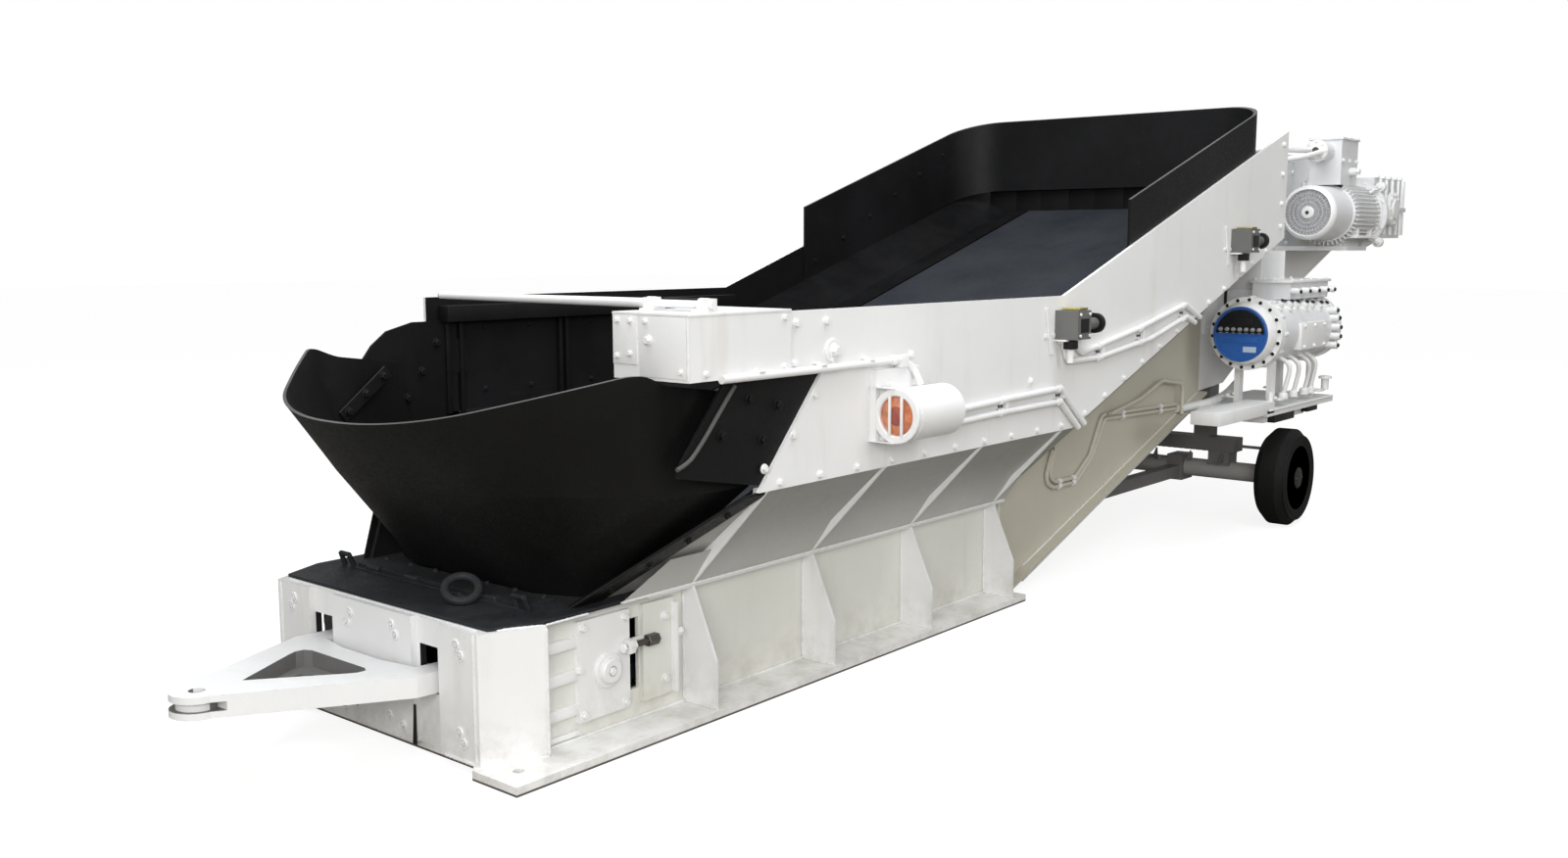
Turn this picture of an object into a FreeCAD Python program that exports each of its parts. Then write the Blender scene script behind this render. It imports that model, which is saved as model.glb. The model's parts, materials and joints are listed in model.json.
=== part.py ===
import FreeCAD, Part
import Sketcher
import math
import os
import re

# A mobile transfer conveyor: a low skid with a drawbar at its front, a flared receiving hopper,
# an inclined conveyor between high side plates, and a wheeled rear end with the drive.
# Frame: +X towards the drawbar, +Y to the machine's left, +Z up, ground at z = 0.
# The origin is on the ground, below the middle of the skid.  All sizes are in millimetres.
# Every "station" is a distance behind the front edge of the skid.

SIZES = {
    # skid and front box
    "skid_length": 3270, "skid_half_width": 845, "skid_thick": 34, "skid_notch": 70,
    "plate": 16, "thin_plate": 12, "joint_gap": 0.3,
    "box_front": 60, "box_half_width": 615, "chamfer_station": 255, "chamfer_half_width": 712,
    "deck_top": 506, "deck_inset": 20, "front_wall_thick": 25, "pad_thick": 25,
    "centre_pad_half": 245, "slot_margin": 18, "slot_play": 5, "slot_headroom": 86,
    "hatch_front": 330, "hatch_rear": 455, "hatch_half": 520, "hatch_thick": 14,
    "lashing_station": 100, "lashing_y": 735, "lashing_radius": 20,
    # side structure
    "rib_station": 980, "rib_pitch": 728, "rib_count": 4, "rib_thick": 12,
    "foot_half_width": 831, "knee_height": 222, "floor_lap": 60,
    "hopper_half_width": 1085, "flange_height": 903, "slope_thick": 18,
    "slope_front_station": 450, "slope_front_top": 915,
    "side_top": 1545, "side_front_low": 930, "side_front_top": 1300,
    "bend_lead": 127, "side_end": 5980, "side_end_top": 2487,
    # inclined trough
    "trough_half_width": 660, "trough_lap": 3, "trough_depth": 895, "trough_end": 5750,
    "trough_flange": 60, "incline_rise": 0.342,
    # conveyor
    "belt_side_gap": 54, "belt_thick": 55, "belt_rise": 0.307, "bend_radius": 900,
    "tail_station": 560, "tail_height": 262, "tail_radius": 110,
    "head_station": 7850, "head_height": 2050, "head_radius": 200, "shaft_radius": 45,
    "shaft_end": 12, "shaft_reach": 190, "deck_clear": 4, "skirt_lift": 64, "skirt_gap": 20,
    "skirt_outer": 780,
    "liner_front": 1800, "liner_lift": 130,
    # tail tensioners
    "slide_front": 420, "slide_rear": 672, "slide_low": 96, "slide_high": 466, "slide_thick": 20,
    "opening_front": 440, "opening_rear": 735, "opening_low": 150, "opening_high": 420,
    "anchor_length": 170, "anchor_lap": 5, "screw_height": 340, "screw_radius": 9,
    # apron, ears and deflector
    "apron_thick": 14, "apron_nose_station": -100, "apron_nose_height": 1170,
    "apron_lip_rise": 0.35, "apron_lip_height": 1360, "ear_front": 530, "ear_low": 1005,
    "ear_drop": 110, "deflector_front": 3850, "deflector_rear": 5700, "deflector_rise": 235,
    "deflector_drop": 230, "deflector_round": 260,
    # head frame
    "head_wall_rise": 370, "head_wall_fall": 570, "head_frame_end": 8230, "head_toe_station": 6150,
    "head_toe_height": 880, "head_knee_station": 7400, "head_end_rise": 290, "floor_gap": 80,
    "cross_beam_depth": 120, "cross_beam_height": 100,
    # drive
    "motor_y": 1020, "motor_drop": 50, "motor_radius": 190, "cowl_radius": 180,
    "cowl_station": 6600, "cowl_length": 330, "motor_length": 500, "flange_radius": 250,
    "flange_thick": 40, "adaptor_radius": 150, "gearbox_front": 7500, "gearbox_rear": 8140,
    "gearbox_outer": 1150, "gearbox_half_height": 210, "terminal_front": 6860,
    "terminal_rear": 7190, "terminal_half": 105, "terminal_height": 310, "gland_radius": 62,
    "gland_length": 170, "gland_drop": 90, "bracket_drop": 220, "bracket_thick": 30,
    "bracket_front": 6980, "bracket_rear": 7400, "bracket_margin": 130, "foot_margin": 40,
    "foot_half": 90,
    # running gear
    "axle_station": 6060, "wheel_radius": 310, "tyre_width": 190, "wheel_outer": 1220,
    "rim_radius": 205, "axle_radius": 60, "axle_half": 1000, "stub_radius": 42,
    "bearing_gap": 0.05, "beam_lift": 130, "beam_height": 90, "beam_half_depth": 70,
    "beam_half_width": 820, "hanger_width": 104, "hanger_top": 980, "saddle_width": 140,
    "saddle_lap": 20, "stay_height": 18, "stay_gap": 15, "strut_y": 420, "strut_half": 38,
    "strut_start": 1030, "strut_clear": 57, "strut_lug": 120, "clamp_half": 85,
    # drawbar
    "drawbar_top": 311, "drawbar_thick": 76, "drawbar_nose": 708, "nose_radius": 86,
    "drawbar_tilt": 1.8, "arm_inner": 280, "arm_outer": 380, "pivot_station": 330,
    "pin_radius": 22, "pin_gap": 0.05, "tow_hole_radius": 27, "groove_height": 30,
    "groove_depth": 20, "groove_reach": 45, "web_thick": 16,
    "lug_gap": 5, "lug_thick": 25, "lug_half": 55,
    # starter and its shelf
    "starter_station": 5520, "starter_y": 1010, "starter_height": 1245,
    "starter_radius": 200, "ring_radius": 225, "ring_thick": 45, "face_radius": 168,
    "face_depth": 90, "starter_length": 1060, "starter_box_front": 6000,
    "starter_box_rear": 6700, "starter_box_height": 115, "cradle_half": 120,
    "cradle_front": 5760, "cradle_pitch": 700, "window_half": 85, "cradle_thick": 60, "cradle_wrap": 25,
    "shelf_height": 790, "shelf_thick": 40, "shelf_outer": 1200, "shelf_rear": 6700,
    # lamp, box, feeler and switches
    "box_station": 555, "box_rear": 1090, "box_inner": 745, "box_outer": 1101,
    "box_depth": 220, "box_stand": 8, "feeler_station": 700, "feeler_tip": 420,
    "feeler_radius": 14, "feeler_lift": 26, "clamp_width": 30,
    "lamp_station": 1600, "lamp_length": 330, "lamp_radius": 105, "lamp_height": 1126,
    "lamp_offset": 122, "lens_radius": 88, "lens_depth": 25, "lens_recess": 70,
    "switch_front": 3060, "switch_front_height": 1412, "switch_rear": 5130,
    "switch_rear_height": 1810, "switch_width": 120, "switch_length": 130,
    "switch_half_height": 68, "stem_length": 115, "stem_radius": 28, "knob_radius": 48,
    "knob_length": 28, "knob_offset": 75,
    # conduits and cables
    "conduit_radius": 15, "cable_radius": 12, "cord_bend": 60,
}

# Places that follow from the sizes above: what seats on, fits in or lines up with something.
LINKS = {
    "slope_rear": "skid_length",
    "side_bend": "(skid_length - bend_lead)",
    "side_end_low": "(flange_height + (side_end - skid_length) * incline_rise)",
    "corner_pad_inner": "(arm_outer + slot_margin)",
    "slot_inner": "(arm_inner - slot_margin)",
    "slot_outer": "(arm_outer + slot_margin)",
    "slot_bottom": "(drawbar_top - drawbar_thick - slot_play)",
    "slot_top": "(drawbar_top + slot_headroom)",
    "bay_wall": "(trough_half_width - plate)",
    "hopper_floor_half": "(trough_half_width - floor_lap)",
    "trough_drop": "(flange_height - deck_top + trough_lap)",
    "belt_half_width": "(trough_half_width - plate - belt_side_gap)",
    "belt_lift": "((tail_radius + belt_thick) * sqrt(1 + belt_rise ^ 2))",
    "deck_rear": "(tail_station + (deck_top - thin_plate - deck_clear - tail_height - belt_lift)"
                 " / belt_rise)",
    "skirt_front": "(tail_station + (deck_top + skirt_lift - tail_height - belt_lift) / belt_rise)",
    "box_high": "(side_top + box_stand)",
    "box_low": "(side_top - box_depth)",
    "ear_top": "(side_top - ear_drop)",
    "head_frame_top": "(head_height + head_wall_rise)",
    "head_frame_low": "(head_height - head_wall_fall)",
    "motor_height": "(head_height - motor_drop)",
    "bracket_height": "(motor_height - bracket_drop)",
    "beam_low": "(wheel_radius + beam_lift)",
    "beam_high": "(beam_low + beam_height)",
    "strut_front": "(skid_length + strut_start)",
    "strut_height": "(flange_height - trough_depth + strut_start * incline_rise - plate"
                    " - strut_clear)",
}

doc = FreeCAD.newDocument("TransferConveyor")
sheet = doc.addObject("Spreadsheet::Sheet", "Sizes")
for row, (alias, size) in enumerate(SIZES.items(), start=1):
    sheet.set(f"A{row}", alias.replace("_", " "))
    sheet.set(f"B{row}", str(size))
    sheet.setAlias(f"B{row}", alias)
doc.recompute()

nodes = []


def bound(text):
    """An expression in our words, with links written out and sizes pointed at the sheet."""
    def pointed(match):
        word = match.group()
        if word in LINKS:
            return bound(LINKS[word])
        return "Sizes." + word if word in SIZES else word
    return re.sub(r"[a-z_]+", pointed, str(text))


def value(text):
    """The number that an expression gives now."""
    return float(sheet.evalExpression(bound(text)))


def at(station):
    """The X of a distance behind the skid's front edge."""
    return f"(skid_length / 2 - ({station}))"


def keep(piece, label):
    """Name a finished sub-part: its label is its node name."""
    piece.Label = label
    nodes.append(piece)
    return piece


# ---------------------------------------------------------------- bodies built from sketches

def new_body(label):
    body = doc.addObject("PartDesign::Body", label)
    body.AllowCompound = True
    return keep(body, label)


def plane_of(body, role):
    return next(plane for plane in body.Origin.OriginFeatures if plane.Role == role)


def sketch(body, role, offset, outlines, circles=()):
    """Closed outlines and circles on one of the body's own planes, every size bound to the sheet."""
    drawing = body.newObject("Sketcher::SketchObject", body.Name + "Sketch")
    drawing.AttachmentSupport = [(plane_of(body, role), "")]
    drawing.MapMode = "FlatFace"
    drawing.setExpression("AttachmentOffset.Base.z", bound(offset))
    for outline in outlines:
        corners = [FreeCAD.Vector(value(u), value(v), 0) for u, v in outline]
        first = drawing.GeometryCount
        for number, corner in enumerate(corners):
            following = corners[(number + 1) % len(corners)]
            drawing.addGeometry(Part.LineSegment(corner, following), False)
        for number, (u, v) in enumerate(outline):
            line = first + number
            following = first + (number + 1) % len(outline)
            drawing.addConstraint(Sketcher.Constraint("Coincident", line, 2, following, 1))
            bind_point(drawing, line, 1, u, v)
    for u, v, radius in circles:
        centre = FreeCAD.Vector(value(u), value(v), 0)
        ring = drawing.addGeometry(Part.Circle(centre, FreeCAD.Vector(0, 0, 1), value(radius)), False)
        bind_point(drawing, ring, 3, u, v)
        number = drawing.addConstraint(Sketcher.Constraint("Radius", ring, value(radius)))
        drawing.setExpression(f"Constraints[{number}]", bound(radius))
    return drawing


def bind_point(drawing, element, point, u, v):
    """Tie one point of a sketch to two expressions."""
    for kind, text in (("DistanceX", u), ("DistanceY", v)):
        number = drawing.addConstraint(
            Sketcher.Constraint(kind, -1, 1, element, point, value(text)))
        drawing.setExpression(f"Constraints[{number}]", bound(text))


def pad(body, drawing, length, reverse=False, middle=False, direction=None):
    feature = body.newObject("PartDesign::Pad", body.Name + "Pad")
    feature.Profile = drawing
    feature.setExpression("Length", bound(length))
    feature.Reversed = reverse
    feature.Midplane = middle
    if direction:
        feature.UseCustomVector = True
        feature.AlongSketchNormal = True
        for axis, text in zip("xyz", direction):
            feature.setExpression("Direction." + axis, bound(text))
    drawing.Visibility = False
    body.Tip = feature
    return feature


def pocket(body, drawing):
    """Cut a sketch right through, both ways."""
    feature = body.newObject("PartDesign::Pocket", body.Name + "Pocket")
    feature.Profile = drawing
    feature.Type = "ThroughAll"
    feature.Midplane = True
    drawing.Visibility = False
    body.Tip = feature
    return feature


def left_and_right(outline, sideways=0):
    """An outline and its mirror image; sideways is the index of the Y expression."""
    other = [tuple(f"-({text})" if index == sideways else text
                   for index, text in enumerate(corner)) for corner in outline]
    return [outline, other]


def revolved(body, drawing, axis="H_Axis"):
    feature = body.newObject("PartDesign::Revolution", body.Name + "Turn")
    feature.Profile = drawing
    feature.ReferenceAxis = (drawing, [axis])
    feature.Angle = 360
    body.Tip = feature
    return feature


def row_of(body, features, count, pitch):
    """Repeat features towards the rear."""
    feature = body.newObject("PartDesign::LinearPattern", body.Name + "Row")
    feature.Originals = features
    feature.Direction = (plane_of(body, "X_Axis"), [""])
    feature.Reversed = True
    feature.setExpression("Length", bound(f"({pitch}) * (({count}) - 1)"))
    feature.setExpression("Occurrences", bound(count))
    body.Tip = feature
    return feature


def place(piece, x="0", y="0", z="0"):
    for axis, text in zip("xyz", (x, y, z)):
        piece.setExpression("Placement.Base." + axis, bound(text))
    return piece


# ---------------------------------------------------------------- primitives

def box(label, x, y, z):
    """A block between two X, two Y and two Z expressions."""
    block = doc.addObject("Part::Box", label)
    for size, pair in (("Length", x), ("Width", y), ("Height", z)):
        block.setExpression(size, bound(f"({pair[1]}) - ({pair[0]})"))
    place(block, x[0], y[0], z[0])
    return block


TURNS = {"x": FreeCAD.Rotation(FreeCAD.Vector(0, 1, 0), 90),
         "y": FreeCAD.Rotation(FreeCAD.Vector(1, 0, 0), -90),
         "z": FreeCAD.Rotation()}


def cylinder(label, axis, start, length, radius):
    """A round bar that runs from its start point along +X, +Y or +Z."""
    bar = doc.addObject("Part::Cylinder", label)
    bar.Placement = FreeCAD.Placement(FreeCAD.Vector(), TURNS[axis])
    bar.setExpression("Radius", bound(radius))
    bar.setExpression("Height", bound(length))
    return place(bar, *start)


def fuse(label, pieces):
    joined = doc.addObject("Part::MultiFuse", label)
    joined.Shapes = pieces
    return joined


def cut(label, base, tool):
    rest = doc.addObject("Part::Cut", label)
    rest.Base = base
    rest.Tool = tool
    return rest


def group(label, pieces):
    """Like pieces that share a node as separate solids."""
    compound = doc.addObject("Part::Compound", label)
    compound.Links = pieces
    return keep(compound, label)


def both_sides(label, make):
    """A node with one piece on each side; make(sign, name) builds one."""
    return group(label, [make(sign, f"{label}_{side}") for sign, side in ((1, "l"), (-1, "r"))])


def span(sign, low, high):
    """Low and high Y expressions on one side of the middle plane."""
    if sign > 0:
        return low, high
    return f"-({high})", f"-({low})"


# ---------------------------------------------------------------- skid and front box

# where the trough's floor comes down to the skid
TOE = "(slope_rear + (skid_thick - flange_height + trough_depth) / incline_rise)"


def make_skid():
    body = new_body("skid_plate")
    outline = [(at("0"), "box_half_width"), (at("0"), "skid_half_width"),
               (at("skid_length"), "skid_half_width"), (at("skid_length"), "trough_half_width"),
               (at(TOE), "trough_half_width"), (at(TOE), "-trough_half_width"),
               (at("skid_length"), "-trough_half_width"), (at("skid_length"), "-skid_half_width"),
               (at("0"), "-skid_half_width"), (at("0"), "-box_half_width"),
               (at("skid_notch"), "-box_half_width + skid_notch"),
               (at("skid_notch"), "box_half_width - skid_notch")]
    holes = [(at("lashing_station"), y, "lashing_radius") for y in ("lashing_y", "-lashing_y")]
    pad(body, sketch(body, "XY_Plane", "0", [outline], holes), "skid_thick")


def make_front_wall():
    body = new_body("front_wall")
    inner = "box_front + front_wall_thick"
    plan = [(at("box_front"), "-box_half_width + pad_thick"),
            (at("box_front"), "box_half_width - pad_thick"),
            (at(inner), "box_half_width - pad_thick"),
            (at(inner), "-box_half_width + pad_thick")]
    rise = "deck_top - thin_plate - skid_thick"
    wall = pad(body, sketch(body, "XY_Plane", "skid_thick", [plan]), rise)
    slots = []
    for sign in (1, -1):
        low, high = span(sign, "slot_inner", "slot_outer")
        slots.append([(low, "slot_bottom"), (high, "slot_bottom"), (high, "slot_top"),
                      (low, "slot_top")])
    pocket(body, sketch(body, "YZ_Plane", at(inner), slots))
    return wall


def make_corner_plates():
    """A bolted strip beside each slot, bent back round the box's corner."""
    body = new_body("corner_plates")
    front = "box_front - pad_thick"
    plan = [(at(front), "corner_pad_inner"), (at(front), "box_half_width"),
            (at("chamfer_station"), "chamfer_half_width"),
            (at("chamfer_station"), "chamfer_half_width - plate"),
            (at("box_front + pad_thick"), "box_half_width - pad_thick"),
            (at("box_front"), "box_half_width - pad_thick"),
            (at("box_front"), "corner_pad_inner")]
    rise = "deck_top - thin_plate - skid_thick"
    pad(body, sketch(body, "XY_Plane", "skid_thick", left_and_right(plan, 1)), rise)


def make_centre_plate():
    half = "centre_pad_half"
    plate = box("centre_plate", (at("box_front"), at("box_front - pad_thick")),
                (f"-{half}", half), ("skid_thick", "deck_top - thin_plate"))
    keep(plate, "centre_plate")


def make_deck():
    body = new_body("front_deck")
    front, edge = "box_front + deck_inset", "(chamfer_half_width - deck_inset)"
    plan = [(at(front), "-box_half_width"), (at(front), "box_half_width"),
            (at("chamfer_station"), edge), (at("deck_rear"), edge),
            (at("deck_rear"), f"-{edge}"), (at("chamfer_station"), f"-{edge}")]
    pad(body, sketch(body, "XY_Plane", "deck_top - thin_plate", [plan]), "thin_plate")


def make_ledges():
    def ledge(sign, name):
        return box(name, (at("skid_length"), at("deck_rear")),
                   span(sign, "bay_wall", "chamfer_half_width"),
                   ("deck_top - thin_plate", "deck_top"))
    both_sides("side_ledges", ledge)


def make_bay_walls():
    """The long inner walls below the ledges, open at the tail shaft."""
    body = new_body("bay_walls")
    top = "deck_top - thin_plate"
    outline = [(at("chamfer_station"), "skid_thick"), (at("chamfer_station"), top),
               (at("skid_length"), top), (at("skid_length"), "skid_thick")]
    opening = [(at("opening_front"), "opening_low"), (at("opening_front"), "opening_high"),
               (at("opening_rear"), "opening_high"), (at("opening_rear"), "opening_low")]
    for sign in (1, -1):
        low, _ = span(sign, "bay_wall", "bay_wall + plate")
        pad(body, sketch(body, "XZ_Plane", f"-({low})", [outline, opening]), "plate", reverse=True)


def make_deck_hatch():
    keep(box("deck_hatch", (at("hatch_rear"), at("hatch_front")), ("-hatch_half", "hatch_half"),
             ("deck_top", "deck_top + hatch_thick")), "deck_hatch")


# ---------------------------------------------------------------- ribs, slopes and side plates

def make_lower_ribs():
    body = new_body("lower_ribs")
    wall = "bay_wall + plate"
    outline = [(wall, "skid_thick"), ("foot_half_width", "skid_thick"),
               ("foot_half_width", "knee_height"), ("chamfer_half_width", "deck_top - thin_plate"),
               (wall, "deck_top - thin_plate")]
    drawing = sketch(body, "YZ_Plane", at("rib_station"), left_and_right(outline))
    row_of(body, [pad(body, drawing, "rib_thick", middle=True)], "rib_count", "rib_pitch")


def slope_height(y):
    """The under side of the hopper's slope at a distance from the middle."""
    run = "(hopper_half_width - plate - hopper_floor_half - slope_thick)"
    return (f"(deck_top + (({y}) - hopper_floor_half - slope_thick)"
            f" * (flange_height - deck_top) / {run})")


def make_upper_ribs():
    body = new_body("upper_ribs")
    foot = "bay_wall + plate"
    inner = "hopper_half_width - plate"
    outline = [(foot, "deck_top"), ("chamfer_half_width", "deck_top"),
               ("hopper_half_width", "flange_height"), (inner, "flange_height"),
               (foot, slope_height(foot))]
    drawing = sketch(body, "YZ_Plane", at("rib_station"), left_and_right(outline))
    row_of(body, [pad(body, drawing, "rib_thick", middle=True)], "rib_count", "rib_pitch")


def make_slopes(side, sign):
    """The hopper's sloping wall, cut back at its front."""
    body = new_body(f"hopper_slope_{side}")
    inner = "hopper_half_width - plate"
    section = [("hopper_floor_half", "deck_top"), ("hopper_floor_half + slope_thick", "deck_top"),
               (inner, "flange_height"), (inner, "flange_height + slope_thick")]
    if sign < 0:
        section = [(f"-({y})", z) for y, z in section]
    pad(body, sketch(body, "YZ_Plane", at("slope_rear"), [section]),
        "slope_rear - slope_front_station")
    front = [(at("slope_front_station"), "deck_top"), (at("slope_front_station - 100"), "deck_top"),
             (at("slope_front_station - 100"), "flange_height + 100"),
             (at("slope_front_top"), "flange_height + 100"), (at("slope_front_top"), "flange_height")]
    pocket(body, sketch(body, "XZ_Plane", "0", [front]))


def make_side_plate(side, sign):
    """The tall side plate: level over the hopper, rising along the incline."""
    body = new_body(f"side_plate_{side}")
    outline = [(at("side_front_low"), "flange_height"), (at("side_front_top"), "box_low - 5"),
               (at("box_rear + joint_gap"), "box_low - 5"), (at("box_rear + joint_gap"), "side_top"),
               (at("side_bend"), "side_top"), (at("side_end"), "side_end_top"),
               (at("side_end"), "side_end_low"), (at("slope_rear"), "flange_height")]
    low, _ = span(sign, "hopper_half_width - plate", "hopper_half_width")
    pad(body, sketch(body, "XZ_Plane", f"-({low})", [outline]), "plate", reverse=True)


# ---------------------------------------------------------------- inclined trough

def sheared(label, section, front, rear, rise="incline_rise"):
    """An upright section pushed back along the incline; its heights are those at its front."""
    body = new_body(label)
    drawing = sketch(body, "YZ_Plane", at(front), left_and_right(section))
    pad(body, drawing, f"({rear}) - ({front})", direction=("-1", "0", rise))
    return body


def trough_height(drop, station="slope_rear"):
    """A height below the side plate's lower edge at a station on the incline."""
    return f"(flange_height - ({drop}) + (({station}) - slope_rear) * incline_rise)"


def make_trough():
    top, bottom = trough_height("trough_drop"), trough_height("trough_depth")
    wall = [("trough_half_width - plate", bottom), ("trough_half_width", bottom),
            ("trough_half_width", top), ("trough_half_width - plate", top)]
    walls = sheared("trough_walls", wall, "slope_rear", "trough_end")
    below = [(at("slope_rear - plate"), bottom), (at("slope_rear - plate"), "skid_thick"),
             (at(TOE), "skid_thick"), (at(TOE), bottom)]
    pocket(walls, sketch(walls, "XZ_Plane", "0", [below]))
    floor = new_body("trough_floor")
    edge = "trough_half_width + trough_flange"
    low = trough_height("trough_depth", TOE)
    section = [(f"-({edge})", f"{low} - plate"), (edge, f"{low} - plate"), (edge, low),
               (f"-({edge})", low)]
    drawing = sketch(floor, "YZ_Plane", at(TOE), [section])
    pad(floor, drawing, f"trough_end - {TOE}", direction=("-1", "0", "incline_rise"))
    outer = "hopper_half_width - plate"
    lean = f"((trough_drop) / ({outer} - trough_half_width))"
    section = [("trough_half_width - plate", top), ("trough_half_width", top),
               (outer, "flange_height"), (outer, f"flange_height + plate * {lean}")]
    sheared("incline_slopes", section, "slope_rear", "trough_end")


# ---------------------------------------------------------------- rounded outlines

def rounded_wire(corners, plane):
    """A closed wire through (u, v, radius) corners, each rounded by its radius."""
    edges = []
    ends = []
    count = len(corners)
    for number, (u, v, radius) in enumerate(corners):
        here = FreeCAD.Vector(u, v, 0)
        before = FreeCAD.Vector(*corners[number - 1][:2], 0)
        after = FreeCAD.Vector(*corners[(number + 1) % count][:2], 0)
        back = (before - here).normalize()
        ahead = (after - here).normalize()
        if radius <= 0:
            ends.append((here, here, here))
            continue
        half = back.getAngle(ahead) / 2
        reach = radius / math.tan(half)
        middle = (back + ahead).normalize()
        centre = here + middle * (radius / math.sin(half))
        ends.append((here + back * reach, centre - middle * radius, here + ahead * reach))
    for number, (start, bulge, finish) in enumerate(ends):
        if (finish - start).Length > 0:
            edges.append(Part.Arc(plane(start), plane(bulge), plane(finish)).toShape())
        following = ends[(number + 1) % count][0]
        if (following - finish).Length > 0.001:
            edges.append(Part.LineSegment(plane(finish), plane(following)).toShape())
    return Part.Wire(edges)


def shaped(label, shape):
    """A sub-part whose shape is set directly."""
    piece = doc.addObject("Part::Feature", label)
    piece.Shape = shape
    piece.Placement = FreeCAD.Placement()
    return keep(piece, label)


# ---------------------------------------------------------------- conveyor

def belt_corners(grow):
    """The loop's outline round its drums, with the drums' radii grown by a thickness."""
    slope = math.atan(value("belt_rise"))
    tail_x, tail_z = value(at("tail_station")), value("tail_height")
    head_x, head_z = value(at("head_station")), value("head_height")
    small = value("tail_radius") + grow
    large = value("head_radius") + grow
    bend = value("bend_radius")
    rise = math.tan(slope)
    lift = small / math.cos(slope)
    front = tail_x + small
    rear = head_x - large
    top, bottom = head_z + large, head_z - large
    return [
        (front, tail_z + lift + (tail_x - front) * rise, small),
        (tail_x - (top - tail_z - lift) / rise, top, bend + grow),
        (rear, top, large),
        (rear, bottom, large),
        (tail_x - (bottom - tail_z + lift) / rise, bottom, bend - grow),
        (front, tail_z - lift + (tail_x - front) * rise, small),
    ]


def make_belt():
    half = value("belt_half_width")

    def upright(point):
        return FreeCAD.Vector(point.x, -half, point.y)
    outer = Part.Face(rounded_wire(belt_corners(value("belt_thick")), upright))
    inner = Part.Face(rounded_wire(belt_corners(0), upright))
    loop = outer.cut(inner).extrude(FreeCAD.Vector(0, 2 * half, 0))
    shaped("conveyor_belt", loop.Solids[0])


def make_drum(label, station, height, radius, reach):
    """A drum with a shaft through it, turned about its own Y axis."""
    body = new_body(label)
    barrel, shaft = f"{radius} - joint_gap", "shaft_radius"
    profile = [(f"-({reach[0]})", "0"), (f"-({reach[0]})", shaft), ("-belt_half_width", shaft),
               ("-belt_half_width", barrel), ("belt_half_width", barrel),
               ("belt_half_width", shaft), (reach[1], shaft), (reach[1], "0")]
    revolved(body, sketch(body, "YZ_Plane", "0", [profile]))
    place(body, at(station), "0", height)


def deck_height(station):
    """The height of the belt's upper face at a station."""
    return f"(tail_height + belt_lift + (({station}) - tail_station) * belt_rise)"


SLOPE_RUN = "(hopper_half_width - plate - hopper_floor_half)"
SLOPE_RISE = "(flange_height + slope_thick - deck_top)"


def slope_inside(height):
    """How far out the inner face of the hopper's slope is at a height."""
    return f"(hopper_floor_half + (({height}) - deck_top) * {SLOPE_RUN} / {SLOPE_RISE})"


def make_skirts():
    """Fixed plates beside the belt, level with it, that close the hopper's floor."""
    inner = "belt_half_width + skirt_gap"
    start = f"({slope_inside('deck_top + skirt_lift')} - skirt_gap)"
    full = f"(skirt_front + (skirt_outer - {start}) * {SLOPE_RISE} / {SLOPE_RUN} / belt_rise)"
    body = new_body("deck_skirts")
    outline = [(at("skirt_front"), inner), (at("skirt_front"), start), (at(full), "skirt_outer"),
               (at("side_end"), "skirt_outer"), (at("side_end"), inner)]
    drawing = sketch(body, "XY_Plane", "0", left_and_right(outline, 1))
    pad(body, drawing, "side_end_top")
    front, rear = "skirt_front - plate", "side_end + plate"
    low, high = deck_height(front), deck_height(rear)
    above = [(at(front), low), (at(rear), high), (at(rear), "2 * side_end_top"),
             (at(front), "2 * side_end_top")]
    below = [(at(front), f"{low} - thin_plate"), (at(rear), f"{high} - thin_plate"),
             (at(rear), "-plate"), (at(front), "-plate")]
    for waste in (above, below):
        pocket(body, sketch(body, "XZ_Plane", "0", [waste]))


def make_liners():
    base = deck_height("liner_front")
    outer = "hopper_half_width - plate - apron_thick - joint_gap"
    section = [("skirt_outer", f"{base} - thin_plate"), (outer, f"{base} - thin_plate + liner_lift"),
               (outer, f"{base} + liner_lift"), ("skirt_outer", base)]
    sheared("incline_liners", section, "liner_front", "side_end", "belt_rise")


def make_tensioners():
    """Sliding plates that hold the tail shaft's ends, each with its screw and its anchor."""
    wall = "bay_wall + plate"

    def slide(sign, name):
        plate = box(name + "_plate", (at("slide_rear"), at("slide_front")),
                    span(sign, wall, f"{wall} + slide_thick"), ("slide_low", "slide_high"))
        bore_low, _ = span(sign, f"{wall} - 1", f"{wall} + slide_thick + 1")
        bore = cylinder(name + "_bore", "y", (at("tail_station"), bore_low, "tail_height"),
                        "slide_thick + 2", "shaft_radius + joint_gap")
        return cut(name, plate, bore)
    both_sides("tension_slides", slide)

    def anchor(sign, name):
        front = "opening_rear + anchor_lap"
        block = box(name + "_block", (at(f"{front} + anchor_length"), at(front)),
                    span(sign, wall, f"{wall} + slide_thick"), ("slide_low", "slide_high"))
        middle, _ = span(sign, f"{wall} + slide_thick / 2", f"{wall} + slide_thick / 2")
        screw = cylinder(name + "_screw", "x", (at(f"{front} + slide_thick"), middle, "screw_height"),
                         f"{front} + slide_thick - slide_rear", "screw_radius")
        return fuse(name, [block, screw])
    both_sides("tension_anchors", anchor)


# ---------------------------------------------------------------- apron, ears and deflector

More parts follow.
